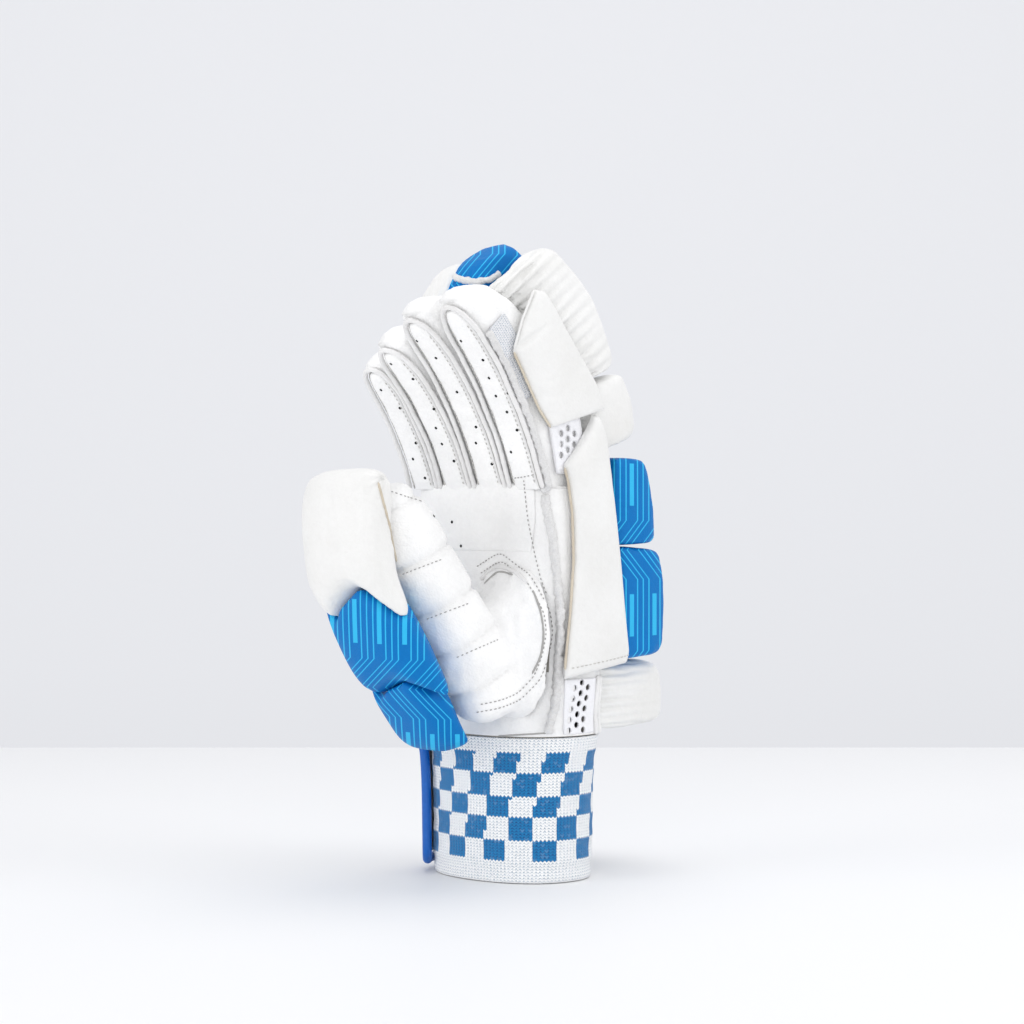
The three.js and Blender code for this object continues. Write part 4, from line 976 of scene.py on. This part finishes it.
def swell_pads(pieces, cap):
    """One cloth run with inner pressure for all pads; returns how far the furthest point moved."""
    before = {piece.name: points_of(piece)[0] for piece in pieces}
    for piece in pieces:
        cloth = piece.modifiers.new("stuffing", "CLOTH")
        cloth.settings.use_pressure = True
        cloth.settings.uniform_pressure_force = CLOTH_PRESSURE
        cloth.settings.quality = 4
        cloth.settings.effector_weights.gravity = 0.0
        cloth.point_cache.frame_end = CLOTH_FRAMES
    for moment in range(1, CLOTH_FRAMES + 1):
        bpy.context.scene.frame_set(moment)
    graph = bpy.context.evaluated_depsgraph_get()
    furthest = 0.0
    for piece in pieces:
        swollen = piece.evaluated_get(graph).data
        places = np.empty(len(swollen.vertices) * 3, np.float32)
        swollen.vertices.foreach_get("co", places)
        moved = to_drawing(places.reshape(-1, 3)) - before[piece.name]
        length = np.linalg.norm(moved, axis=1, keepdims=True)
        furthest = max(furthest, float(length.max()))
        moved *= np.minimum(1, cap / np.maximum(length, 1e-6))
        piece.modifiers.clear()
        set_points(piece, before[piece.name] + moved)
    bpy.context.scene.frame_set(1)
    return furthest


pads = {name: pad_cloth(name, finish) for name, finish, slot, detail in PADS}
print("pads swelled, furthest point", round(swell_pads(list(pads.values()), CLOTH_CAP), 2), "mm")

# %% [markdown]
# Where a roll's leather is drawn in to its seam it gathers into pleats. Each pad's points are told
# how high they lie over what carries the pad, and how far along it. Pleats are narrow valleys in
# that direction, deepest at the seam. Soft dents on top show that the filling is not hard. Some
# pleats were measured in the picture, so a helper tells where a point falls in it.

# %% Gathers on the rolls
def over_finger(finger, places):
    """How high points lie over the finger's back, how far along it, and which way along is."""
    shares = np.linspace(0, 1, 160)
    front, back = finger_frame(finger, shares)
    along = np.gradient(front, axis=0)
    along /= np.linalg.norm(along, axis=1, keepdims=True)
    offset = places[:, None] - front[None]
    nearest = np.argmin(np.abs(np.sum(offset * along[None], axis=2)), axis=1)
    depth = read(FINGER_ROWS, "depth", shares, 0.01)[nearest] * FINGER_DEPTH
    chosen = offset[np.arange(len(places)), nearest]
    high = np.sum(chosen * back[nearest], axis=1) - depth
    return high, shares[nearest] * finger["length"], along[nearest]


def over_hand(places):
    """The same over the back of the hand."""
    height = np.clip((places[:, 2] - WRIST_Z) / PALM_HEIGHT, 0, 1)
    back = read(PALM_ROWS, "y", height, 0.02) + read(PALM_ROWS, "depth", height, 0.02) / 2
    along = np.tile([0.0, 0.0, 1.0], (len(places), 1))
    return places[:, 1] - back * PALM_DEPTH, places[:, 2], along


def pleats(turns, sharpness):
    """Waves from 0 to 1, one for each turn; the sharper they are, the narrower their valleys."""
    return (0.5 + 0.5 * np.cos(2 * math.pi * turns)) ** sharpness


def gather(piece, finger_name, pitch, deepest, fade, dents):
    """Press pleats into a pad's sides and ends, deepest at its seam, and dents into its top."""
    places, outs = points_of(piece)
    if finger_name:
        high, run, along = over_finger(FINGERS[finger_name], places)
    else:
        high, run, along = over_hand(places)
    on_side = np.abs(outs[:, 0]) ** 1.5
    on_end = np.abs(np.sum(outs * along, axis=1)) ** 1.5
    drift = 0.8 * cloud(places, 11.0, 51)
    side_valley = pleats(run / pitch + drift * 0.3, 1.6)
    end_valley = pleats(places[:, 0] / (pitch * 0.8) + drift * 0.3, 1.6)
    uneven = 0.75 + 0.5 * cloud(places, 6.0, 52)
    seam = np.exp(-np.clip(high, 0, None) / fade)
    depth = deepest * uneven * seam * (on_side * side_valley + 0.8 * on_end * end_valley)
    soft = dents * cloud(places, 12.0, 53) + 0.12 * cloud(places, 3.5, 54) - 0.1
    set_points(piece, places + outs * (soft - depth)[:, None])


facing = np.array(towards_camera)


def picture_of(places):
    """Where points of the drawing fall in the picture, in its pixels."""
    offset = to_room(places) - np.array(camera.location)
    scale = FOCUS / (-offset @ facing)
    across, up = offset @ np.array(right), offset[:, 2]
    return PICTURE / 2 + np.stack([scale * across, -scale * up], axis=1)


print("the band's middle in the picture", picture_of(np.array([[0.0, 0.0, BAND_HEIGHT / 2]])).round(1))

# %% [markdown]
# Some pads need more than pleats along a seam. The index finger's tip roll narrows to its front,
# and long pleats run from the seam that shows. The middle finger's tip roll is blunt and high, and
# the tip rolls have fine ribs at their foot. The guard's top plate has a shallow groove down its face
# and a small gather at its inner corner, and the lowest plate is cut short towards the hand.

# %% Pads with a form of their own
INDEX_OUTER, INDEX_SEAM = 44, (528, 254)
SEAM_ALONG, SEAM_AWAY = (0.5, 0.866), (0.866, -0.5)
GROOVE_DOWN, GROOVE_ACROSS = (490, 570, 612), (350, 358, 378)
GUARD_CORNER = (384, 476)
RIB_PITCH, RIB_FOOT = 6.5, 285


def shape_index_tip(piece):
    places, outs = points_of(piece)
    front_end = np.clip((-20 - places[:, 1]) / 20, 0, 1) ** 1.3
    places[:, 0] = INDEX_OUTER - (INDEX_OUTER - places[:, 0]) * (1 - 0.5 * front_end)
    set_points(piece, places)
    gather(piece, "index", 5.4, 2.2, 15.0, 0.5)
    places, outs = points_of(piece)
    seen = picture_of(places) - INDEX_SEAM
    run, away = seen @ SEAM_ALONG, seen @ SEAM_AWAY
    fade = np.exp(-np.clip(away, 0, None) / 15)
    fade = fade * np.clip((run + 12) / 12, 0, 1) * np.clip((165 - run) / 20, 0, 1)
    valley = pleats((run + 0.25 * away) / 11.5, 1.3)
    valley *= (0.8 + 0.35 * cloud(places, 7.0, 58)) * np.clip(2 * (outs @ facing), 0, 1)
    set_points(piece, places - outs * (2.2 * valley * fade)[:, None])


def blunt_middle_tip(piece):
    places = points_of(piece)[0]
    blunt = np.clip((-6 - places[:, 1]) / 22, 0, 1) * np.clip((places[:, 2] - 270) / 16, 0, 1)
    blunt *= np.clip((297 - places[:, 2]) / 14, 0, 1)
    set_points(piece, places + blunt[:, None] * [-1.0, -1.0, 5.0])


def rib_tip(piece, fade_up):
    places, outs = points_of(piece)
    seen = picture_of(places)
    ribs = pleats((seen[:, 0] + 0.2 * seen[:, 1]) / RIB_PITCH, 1.3)
    fade = np.exp(-np.clip(RIB_FOOT - seen[:, 1], 0, None) / fade_up)
    set_points(piece, places - outs * (0.9 * ribs * fade * np.clip(outs @ facing, 0, 1))[:, None])


def shape_guard(piece, name):
    places, outs = points_of(piece)
    shift = 0.3 * cloud(places, 16.0, 57) - 0.1
    if name == "guard_lower":
        end = np.clip((places[:, 0] - 12) / 23, 0, 1)
        places[:, 0] -= 7.5 * end ** 1.3
        places[:, 2] += np.clip(5.0 * end * (92 - places[:, 2]) / 30, 0, 6)
    if name == "guard_tip":
        seen = picture_of(places)
        groove_line = np.interp(seen[:, 1], GROOVE_DOWN, GROOVE_ACROSS)
        corner = seen - GUARD_CORNER
        spokes = pleats(11 * np.arctan2(corner[:, 1], corner[:, 0]) / (2 * math.pi), 1)
        dent = 1.3 * spokes * np.exp(-np.linalg.norm(corner, axis=1) / 14)
        dent += 1.1 * np.exp(-((seen[:, 0] - groove_line) / 9) ** 2)
        shift -= dent * np.clip(outs @ facing, 0, 1)
    set_points(piece, places + outs * shift[:, None])


print("forms for", sum(name.startswith("guard") for name in pads), "guard plates and the tips")

# %% [markdown]
# Each kind of roll has its own gathers: the pitch and the depth of the pleats, how far they fade up
# the roll, and how dented its top is. The pads are rounded first and shaped after that.

# %% Every pad in turn
GATHERS = {"tip": (3.4, 2.0, 10.0, 0.35), "middle": (4.5, 1.3, 6.0, 0.6), "knuckle": (4.5, 0.9, 4.0, 0.4),
           "hand": (4.5, 0.9, 4.0, 0.4), "wrist": (4.2, 1.8, 14.0, 0.5)}
for name, finish, slot, detail in PADS:
    piece = pads[name]
    piece.modifiers.new("rounding", "SUBSURF").levels = detail
    bake_shape(piece)
    if name.startswith("guard"):
        shape_guard(piece, name)
    elif name == "roll_index_tip":
        shape_index_tip(piece)
    else:
        kind = name.split("_")[-1]
        if name == "roll_middle_tip":
            blunt_middle_tip(piece)
        on_finger = kind in ("tip", "middle")
        gather(piece, name.split("_")[1] if on_finger else None, *GATHERS[kind])
        if kind == "tip":
            rib_tip(piece, 12 if name == "roll_middle_tip" else 24)
    wear(piece, slot, name)
print("pads", len(pads), "faces", sum(len(piece.data.polygons) for piece in pads.values()))

# %% [markdown]
# The side bar and the index flap are flat pads on the outside of the index column. Both are plates
# from a short table of their edges. Their leather is turned over at the edge, so the rim is round,
# and the raw leather shows as a beige line along the free edges. A soft crease crosses the flap.

# %% Side bar and index flap
INDEX = FINGERS["index"]
SIDE_FACE = INDEX["x"] + INDEX["width"] / 2 + 0.3
BAR_FACE = SIDE_FACE + 1.5
BAR_HEIGHT, BAR_WIDTH = 116.0, 43.0
BAR_ROWS = [
    {"at": 0, "left": -0.44, "right": 0.52}, {"at": 0.05, "left": -0.44, "right": 0.55},
    {"at": 0.22, "left": -0.36, "right": 0.48}, {"at": 0.42, "left": -0.31, "right": 0.41},
    {"at": 0.61, "left": -0.33, "right": 0.33}, {"at": 0.74, "left": -0.4, "right": 0.27},
    {"at": 0.8, "left": -0.46, "right": 0.245}, {"at": 0.84, "left": -0.34, "right": 0.22},
    {"at": 0.9, "left": -0.2, "right": 0.18}, {"at": 0.96, "left": -0.08, "right": 0.1},
    {"at": 1, "left": -0.03, "right": 0.03},
]
FLAP_HEIGHT, FLAP_WIDTH = 63.0, 37.0
FLAP_ROWS = [
    {"at": 0, "left_y": -0.76, "left_z": 0, "right_y": 0.2, "right_z": 0.15},
    {"at": 0.22, "left_y": -0.98, "left_z": 0.14, "right_y": 0.02, "right_z": 0.35},
    {"at": 0.45, "left_y": -1.24, "left_z": 0.38, "right_y": -0.24, "right_z": 0.53},
    {"at": 0.62, "left_y": -1.42, "left_z": 0.54, "right_y": -0.44, "right_z": 0.67},
    {"at": 0.82, "left_y": -1.26, "left_z": 0.78, "right_y": -0.7, "right_z": 0.85},
    {"at": 1, "left_y": -1.05, "left_z": 1, "right_y": -0.92, "right_z": 0.99},
]


def from_rows(table, left, right, across, up):
    """A measure of the plate's two edges, shared out across it."""
    return read(table, left, up, 0.012) * (1 - across) + read(table, right, up, 0.012) * across


def bar_point(across, up, lift):
    y = from_rows(BAR_ROWS, "left", "right", across, up)
    drop = (1 - across) * 0.05 * BAR_HEIGHT * np.maximum(0, 1 - 4 * up)
    z = WRIST_Z + 0.29 * PALM_HEIGHT + up * BAR_HEIGHT - drop
    return np.stack(np.broadcast_arrays(BAR_FACE + lift, y * BAR_WIDTH, z), axis=-1)


def flap_point(across, up, lift):
    y = from_rows(FLAP_ROWS, "left_y", "right_y", across, up)
    z = from_rows(FLAP_ROWS, "left_z", "right_z", across, up)
    z = FINGER_Z + 0.27 * INDEX["length"] + z * FLAP_HEIGHT
    return np.stack(np.broadcast_arrays(BAR_FACE + lift, y * FLAP_WIDTH, z), axis=-1)


across, up = np.meshgrid(0.5 - 0.5 * np.cos(np.linspace(0, math.pi, 60)), np.linspace(0, 1, 120))
rounding = (1 - np.abs(2 * across - 1) ** 10) ** 0.5 * (1 - np.abs(2 * up - 1) ** 40) ** 0.5
base = bar_point(across, up, 0 * up)
dents = 0.35 * cloud(base, 18.0, 61) + 0.2 * cloud(base, 6.0, 62) * np.exp(-((up - 0.72) / 0.1) ** 2)
bar_lift = 0.6 + (3.1 + 1.2 * np.sin(math.pi * across) + dents) * rounding
bar = lay_plate("bar_pad", bar_point(across, up, bar_lift), bar_point(across, up, 0.1 + 0 * up),
                cream_leather)
wear(bar, "leather_white", "side_bar")
crown = np.sin(math.pi * across) * np.clip(np.sin(math.pi * up), 0, 1) ** 0.5
base = flap_point(across, up, 0 * up)
crease = np.exp(-((base[..., 2] - 251 - 0.62 * (base[..., 1] + 45)) / 1.6) ** 2)
crease *= np.clip(1.3 - 2.2 * across, 0, 1)
fine = 0.3 * np.clip(1 - 2.4 * across, 0, 1) * cloud(base * [1, 0.35, 1], 2.2, 63)
rounding = (1 - np.abs(2 * across - 1) ** 10) ** 0.5 * (1 - np.abs(2 * up - 1) ** 24) ** 0.5
flap_lift = 0.6 + (2.8 + 1.5 * crown + 0.35 * cloud(base, 14.0, 64) - 1.7 * crease + 1.3 * fine) * rounding
flap = lay_plate("flap_pad", flap_point(across, up, flap_lift), flap_point(across, up, 0.1 + 0 * up),
                 cream_leather)
wear(flap, "leather_white", "index_flap")
for name, path in (
        ("bar_edge", bar_point(0.0, np.linspace(0.03, 0.79, 60), 1.6) + [0, -0.9, 0]),
        ("flap_edge", flap_point(0.0, np.linspace(0.01, 0.62, 50), 1.6) + [0, -0.8, -0.3]),
        ("flap_top_edge", flap_point(0.0, np.linspace(0.63, 0.99, 30), 1.8) + [0, -0.9, 0.3])):
    finish = raw_edge if name != "flap_top_edge" else cream_leather
    cord = run_cord(name, smooth_path(path, 0.8, 3), 1.2, finish, 8, 0.2, 66)
    wear(cord, "leather_white")
print("bar and flap laid")

# %% [markdown]
# The two vents are thin cloth pierced by staggered round holes. A Boolean with a set of short
# cylinders cuts real holes, so the dark of the hollow shows through them.

# %% Pierced vents
VENT_HOLE, VENT_PITCH = 3.0, 5.0


def staggered(columns, rows):
    """Places of holes about the middle of a vent, every other column half a step up."""
    places = []
    for column in range(columns):
        for row in range(rows):
            places.append(((column - (columns - 1) / 2) * 0.87 * VENT_PITCH,
                           (row + (column % 2) * 0.5 - (rows - 0.5) / 2) * VENT_PITCH))
    return places


def pierce(piece, centres):
    """Cut a round hole through the piece at each centre."""
    cutters = bmesh.new()
    spin = Vector((0, 0, 1)).rotation_difference(Vector((1, 0, 0))).to_matrix()
    for centre in centres:
        made = bmesh.ops.create_cone(cutters, segments=18, radius1=VENT_HOLE / 2000,
                                     radius2=VENT_HOLE / 2000, depth=0.012, cap_ends=True)
        for vertex in made["verts"]:
            vertex.co = spin @ vertex.co + Vector(to_room(centre))
    mesh = bpy.data.meshes.new("cutters")
    cutters.to_mesh(mesh)
    cutters.free()
    tool = show("cutters", mesh, vent_cloth)
    cut = piece.modifiers.new("holes", "BOOLEAN")
    cut.operation = "DIFFERENCE"
    cut.object = tool
    cut.solver = "EXACT"
    bake_shape(piece)
    bpy.data.objects.remove(tool)
    return piece


across, up = np.meshgrid(np.linspace(0, 1, 28), np.linspace(0, 1, 34))
angle = np.radians(-15 + 26 * across)
height = 0.012 + 0.223 * up
vent = lay_plate("lower_vent_cloth", palm_point(angle, height, 1.9 + 0 * up),
                 palm_point(angle, height, 0.75 + 0 * up), vent_cloth)
middle_spot = palm_point(math.radians(-2), 0.1235, 0.0)
pierce(vent, [middle_spot + [0, y, z] for y, z in staggered(3, 5)])
wear(vent, "mesh", "vent_lower")
across, up = np.meshgrid(np.linspace(0, 1, 12), np.linspace(0, 1, 12))
vent_y = -0.36 * FINGER_DEPTH
vent_z = FINGER_Z + 0.21 * INDEX["length"]
y = vent_y + (2 * across - 1) * 0.31 * FINGER_DEPTH - up * 7
z = vent_z + (2 * up - 1) * 0.15 * INDEX["length"]
upper_vent = lay_plate("upper_vent_cloth", np.stack([SIDE_FACE + 1.15 + 0 * y, y, z], axis=-1),
                       np.stack([SIDE_FACE + 0.1 + 0 * y, y, z], axis=-1), vent_cloth)
middle_spot = np.array([SIDE_FACE + 0.6, vent_y - 3.5, vent_z])
pierce(upper_vent, [middle_spot + [0, y, z] for y, z in staggered(3, 3)])
wear(upper_vent, "mesh", "vent_upper")
print("vents pierced")

# %% [markdown]
# The seam on the thumb side of the hand is bound with a fuzzy white tape. It is a lumpy cord that
# follows the palm's edge from the index finger down to the band.

# %% Side binding
BINDING_ROWS = [{"at": 0, "angle": -30}, {"at": 0.12, "angle": -24}, {"at": 0.5, "angle": -20},
                {"at": 0.8, "angle": -30}, {"at": 0.97, "angle": -42}]
share = np.linspace(0.015, 0.975, 50)
binding_path = palm_point(np.radians(read(BINDING_ROWS, "angle", share, 0.04)), share, 1.7)
binding = run_cord("seam_binding", smooth_path(binding_path, 0.6, 4), 4.2, tape, 14, 0.4, 71)
wear(binding, "leather_white", "side_binding")
print("binding", round(float(np.linalg.norm(np.diff(binding_path, axis=0), axis=1).sum())), "mm long")

# %% [markdown]
# The thumb side of the hand shows three more things. The fuzzy binding goes on up the index
# finger's edge. A ribbed knit gusset is let into that finger's side. Two white cords lie beside the
# lower vent. A thin leather cord also covers the seam where the fingers join the hand.

# %% Trims on the thumb side
shares = np.linspace(0.8, 0.01, 46)
front, back = finger_frame(INDEX, shares)
edge_path = front + back * 1.2 + [INDEX["width"] / 2 + 0.5, 0, 0]
edge_path = np.concatenate([edge_path, palm_point(np.radians(-43), 0.985, 1.6)[None]])
wear(run_cord("index_binding", smooth_path(edge_path, 0.6, 6), 3.4, tape, 12, 0.4, 72), "leather_white")
across, share = np.meshgrid(np.linspace(0, 1, 12), np.linspace(0.42, 0.8, 36))
front, back = finger_frame(INDEX, share)
side_knit = front + back * (2.2 + 12.0 * across)[..., None]
flat = np.stack([across * 12, share * INDEX["length"]], axis=-1)
raised = np.array([INDEX["width"] / 2 + 1.0, 0, 0])
knit_side = lay_plate("side_gusset", side_knit + raised, side_knit + raised - [0.9, 0, 0], rib_knit, flat)
wear(knit_side, "mesh")
for k, angle in enumerate((13.5, 19.0)):
    bow = 3 * np.linspace(-1, 1, 30) ** 2
    path = palm_point(np.radians(angle + bow), np.linspace(0.0, 0.245, 30), 1.6)
    cord = run_cord(f"vent_cord_{k + 1}", smooth_path(path, 0.8, 3), 2.6, piping_leather, 10, 0.15, 73)
    wear(cord, "leather_white")
angles = np.radians(np.linspace(-50, 226, 160))
root_path = palm_point(angles, 1.0 + 0 * angles, 0.5)
root_cord = run_cord("root_seam", smooth_path(root_path, 0.9, 2), 1.8, piping_leather, 8, 0.15, 77)
wear(root_cord, "palm_leather")
print("trims laid")

# %% [markdown]
# Holes and stitches go where the photograph shows them. Each list below is a line or a point in the
# picture. A line of sight from the camera through it meets the leather, and that is its place.

# %% Places taken from the photograph
def skin_of(*pieces):
    """Pieces as one surface that a line of sight can hit."""
    points, faces = [], []
    for piece in pieces:
        start = len(points)
        points += [vertex.co.copy() for vertex in piece.data.vertices]
        faces += [[start + k for k in face.vertices] for face in piece.data.polygons]
    return BVHTree.FromPolygons(points, faces)


def seen_at(spots, skin, lift):
    """Points of the drawing, lifted off the leather, and the leather's outward directions."""
    found = []
    for across, down in spots:
        up = Vector((0, 0, (PICTURE / 2 - down) / FOCUS))
        sight = right * (across - PICTURE / 2) / FOCUS + up - towards_camera
        place, out = skin.ray_cast(camera.location, sight.normalized())[:2]
        if place is not None:
            out = -out if out.dot(sight) > 0 else out
            found.append((to_drawing(place + out * lift / 1000), np.array(out)))
    return [item[0] for item in found], [item[1] for item in found]


def seen_line(spots, skin, lift):
    """A smooth line on the leather, through points of the picture."""
    spots = smooth_path([(across, down, 0) for across, down in spots], 3.0, 3)[:, :2]
    return smooth_path(seen_at(spots, skin, lift)[0], 0.8, 4)


leather_skin = skin_of(palm, patch, thumb, *(bpy.data.objects[f"front_panel_{name}"] for name in FINGERS))
print("leather to sew on", len(palm.data.polygons) + len(thumb.data.polygons), "faces")

# %% [markdown]
# Sewing is a node tree. It walks along every line at the stitch pitch, sets one long bead of thread
# at each step, turned along the line, and varies the beads' length a little with a fixed seed.
# Punched holes are a second tree, which sets a small dark drum square to the leather at each point; its
# near-black is painted shade for the dark inside each hole.

# %% Trees for stitches and holes
def start_tree(name, sizes):
    tree = bpy.data.node_groups.new(name, "GeometryNodeTree")
    tree.interface.new_socket("Geometry", in_out="INPUT", socket_type="NodeSocketGeometry")
    for label, kind in sizes.items():
        tree.interface.new_socket(label, in_out="INPUT", socket_type=f"NodeSocket{kind}")
    tree.interface.new_socket("Geometry", in_out="OUTPUT", socket_type="NodeSocketGeometry")
    return tree, tree.nodes.new("NodeGroupInput").outputs, tree.nodes.new("NodeGroupOutput").inputs


def finish_tree(tree, points, bead, turn, size, finish, ends):
    placed = node(tree, "GeometryNodeInstanceOnPoints",
                  {"Points": points, "Instance": bead, "Rotation": turn, "Scale": size})
    real = node(tree, "GeometryNodeRealizeInstances", {"Geometry": placed.outputs[0]})
    dyed = node(tree, "GeometryNodeSetMaterial", {"Geometry": real.outputs[0], "Material": finish})
    tree.links.new(dyed.outputs[0], ends[0])
    return tree


def sewing_tree():
    tree, given, ends = start_tree("sewing", {"Pitch": "Float", "Length": "Float", "Width": "Float",
                                              "Seed": "Int", "Thread": "Material"})
    line = node(tree, "GeometryNodeMeshToCurve", {"Mesh": given["Geometry"]})
    steps = node(tree, "GeometryNodeResampleCurve", {"Curve": line.outputs[0], "Length": given["Pitch"]},
                 mode="LENGTH")
    along = node(tree, "GeometryNodeInputTangent").outputs[0]
    turn = node(tree, "FunctionNodeAlignRotationToVector", {"Vector": along}, axis="X")
    bead = node(tree, "GeometryNodeMeshUVSphere", {"Segments": 6, "Rings": 5, "Radius": 0.5})
    vary = node(tree, "FunctionNodeRandomValue", {2: 0.8, 3: 1.15, "Seed": given["Seed"]},
                data_type="FLOAT")
    long = figure(tree, "MULTIPLY", given["Length"], vary.outputs[1])
    size = node(tree, "ShaderNodeCombineXYZ", {"X": long, "Y": given["Width"], "Z": given["Width"]})
    return finish_tree(tree, steps.outputs[0], bead.outputs[0], turn.outputs[0], size.outputs[0],
                       given["Thread"], ends)


def punching_tree():
    tree, given, ends = start_tree("punching", {"Width": "Float", "Depth": "Float", "Dark": "Material"})
    out = node(tree, "GeometryNodeInputNamedAttribute", {"Name": "out"}, data_type="FLOAT_VECTOR")
    turn = node(tree, "FunctionNodeAlignRotationToVector", {"Vector": out.outputs[0]}, axis="Z")
    drum = node(tree, "GeometryNodeMeshCylinder", {"Vertices": 16, "Radius": 0.5, "Depth": 1.0})
    size = node(tree, "ShaderNodeCombineXYZ",
                {"X": given["Width"], "Y": given["Width"], "Z": given["Depth"]})
    return finish_tree(tree, given["Geometry"], drum.outputs[0], turn.outputs[0], size.outputs[0],
                       given["Dark"], ends)


def grow(name, mesh, tree, slot, sizes):
    """Run a tree on points or lines and keep the result as a plain mesh."""
    piece = bpy.data.objects.new(name, mesh)
    pattern = piece.modifiers.new("pattern", "NODES")
    pattern.node_group = tree
    for socket in tree.interface.items_tree:
        if socket.name in sizes:
            pattern[socket.identifier] = sizes[socket.name]
    bpy.context.scene.collection.objects.link(piece)
    bake_shape(piece)
    return wear(piece, slot)


sewing, punching = sewing_tree(), punching_tree()


def sew(name, paths, slot, thread, pitch, length, width, seed):
    """Rows of stitches along paths; the sizes are in millimetres."""
    points, edges = [], []
    for path in paths:
        edges += [(len(points) + k, len(points) + k + 1) for k in range(len(path) - 1)]
        points += to_room(path).tolist()
    mesh = bpy.data.meshes.new(name)
    mesh.from_pydata(points, edges, [])
    sizes = {"Pitch": pitch / 1000, "Length": length / 1000, "Width": width / 1000, "Seed": seed,
             "Thread": thread}
    piece = grow(name, mesh, sewing, slot, sizes)
    print(name, len(paths), "rows,", len(piece.data.polygons), "faces")

# %% [markdown]
# Every finger front has a few air holes, and three more are in the palm, made with a hollow punch
# before sewing. Each is a sunken near-black drum: painted shade for the dark inside the hole.

# %% Punched holes
HOLES = [(381, 390), (400, 408), (416, 443), (413, 459), (425, 478), (391, 364), (413, 379), (434, 409),
         (436, 428), (455, 443), (442, 444), (454, 461), (417, 341), (436, 358), (457, 392), (476, 427),
         (476, 443), (492, 464), (461, 341), (483, 360), (489, 378), (508, 393), (496, 396), (507, 412),
         (517, 430), (511, 452), (434, 516), (452, 522), (461, 546)]
places, outs = seen_at(HOLES, leather_skin, -0.25)
dots = bpy.data.meshes.new("air_holes")
dots.from_pydata(to_room(places).tolist(), [], [])
dots.attributes.new("out", "FLOAT_VECTOR", "POINT").data.foreach_set("vector", np.ravel(outs))
grow("air_holes", dots, punching, "palm_leather", {"Width": 0.0014, "Depth": 0.0008, "Dark": hole_shade})
print("holes", len(places))

# %% [markdown]
# The stitched seams: a double row round the ball of the thumb, the patch's two rows, a row at each
# of the thumb's cross seams, two rows on every finger front and one at the foot of the side bar.

# %% Seams and stitches
BALL = [(478, 566), (500, 552), (530, 575), (550, 610), (553, 632), (549, 655), (540, 680), (520, 700),
        (500, 708), (478, 712)]
BALL_MIDDLE = (505, 632)
PATCH_ROWS = [[(524, 481), (528, 520), (535, 555), (541, 580), (546, 592)],
              [(505, 479), (524, 477), (540, 473)]]
THUMB_STITCHES = [[(404, 574), (440, 560)], [(428, 619), (467, 604)], [(458, 657), (497, 640)],
                  [(392, 492), (420, 501)]]
inner_ball = [(BALL_MIDDLE[0] + (across - BALL_MIDDLE[0]) * 0.86,
               BALL_MIDDLE[1] + (down - BALL_MIDDLE[1]) * 0.9) for across, down in BALL]
rows = [seen_line(line, leather_skin, 0.25) for line in (BALL, inner_ball, *PATCH_ROWS)]
sew("palm_stitches", rows, "palm_leather", thread_and_shade_grey, 2.1, 1.35, 0.6, 5)
rows = [seen_line(line, leather_skin, 0.25) for line in THUMB_STITCHES]
sew("thumb_stitches", rows, "palm_leather", thread_and_shade_grey, 2.1, 1.35, 0.55, 6)
rows = []
for finger in FINGERS.values():
    for side in (-0.86, 0.86):
        share = np.linspace(0.02, 0.9, 90)
        lift = 0.5 + (1 - abs(side) ** 5) ** 0.5 * 2.2
        rows.append(front_grid(finger, side + 0 * share, share, lift + 0 * share))
sew("finger_stitches", rows, "palm_leather", pale_thread, 2.3, 1.6, 0.55, 7)
bar_skin = skin_of(bar)


def on_bar(across, up):
    """Points on the outside of the side bar, found by looking at it square on."""
    path = []
    for a, u in zip(across, up):
        start = Vector(to_room(bar_point(a, u, 20.0)))
        place, out = bar_skin.ray_cast(start, Vector((-1, 0, 0)))[:2]
        if place is not None:
            path.append(to_drawing(place + out * 0.0002))
    return path


even = np.linspace(0.06, 0.94, 60)
sew("bar_stitches", [on_bar(even, 0 * even + 0.035)], "leather_white", pale_thread, 2.6, 1.8, 0.55, 8)

# %% [markdown]
# Thin cords finish the seams that no stitch shows. A grey line of painted shade lies inside the rim
# round the ball of the thumb, a folded dart ends above it with a line of painted shadow under its
# fold, and a dark seam runs where the palm meets the band. A small ruffle closes the leather under
# the middle finger's blue tip, and a raw edge follows the guard.

# %% Lines of painted shade, seams, folds and edges
SMALL_CORDS = [
    # The first cord is a grey line of painted shade inside the rim round the ball of the thumb, and the
    # third is a painted shadow under the dart's fold.
    ("ball_welt", [(533, 590), (541, 612), (544, 634), (541, 656), (532, 674)], 1.0, thread_and_shade_grey),
    ("dart_fold", [(480, 580), (497, 565), (515, 571), (528, 583)], 2.2, piping_leather),
    ("dart_shadow", [(484, 584), (498, 570), (513, 575)], 0.9, thread_and_shade_grey),
    ("heel_seam", [(470, 735), (500, 736), (548, 733)], 0.8, thread_and_shade_grey),
]
RUFFLE = [(452, 275), (457, 280), (468, 282), (480, 282), (490, 280), (500, 273)]
GUARD_EDGE = [(378, 482), (388, 520), (397, 562)]
for name, spots, width, finish in SMALL_CORDS:
    path = seen_line(spots, leather_skin, 0.1)
    wear(run_cord(name, path, width, finish, 8, 0.2, 75), "palm_leather")
path = seen_line(RUFFLE, skin_of(pads["roll_middle_tip"]), 0.5)
wear(run_cord("tip_ruffle", path, 3.0, tape, 12, 0.5, 74), "leather_white")
path = seen_line(GUARD_EDGE, skin_of(pads["guard_tip"], thumb), 0.2)
wear(run_cord("guard_edge", path, 1.1, raw_edge, 8, 0.3, 76), "leather_white")
print("small cords", len(SMALL_CORDS) + 2)
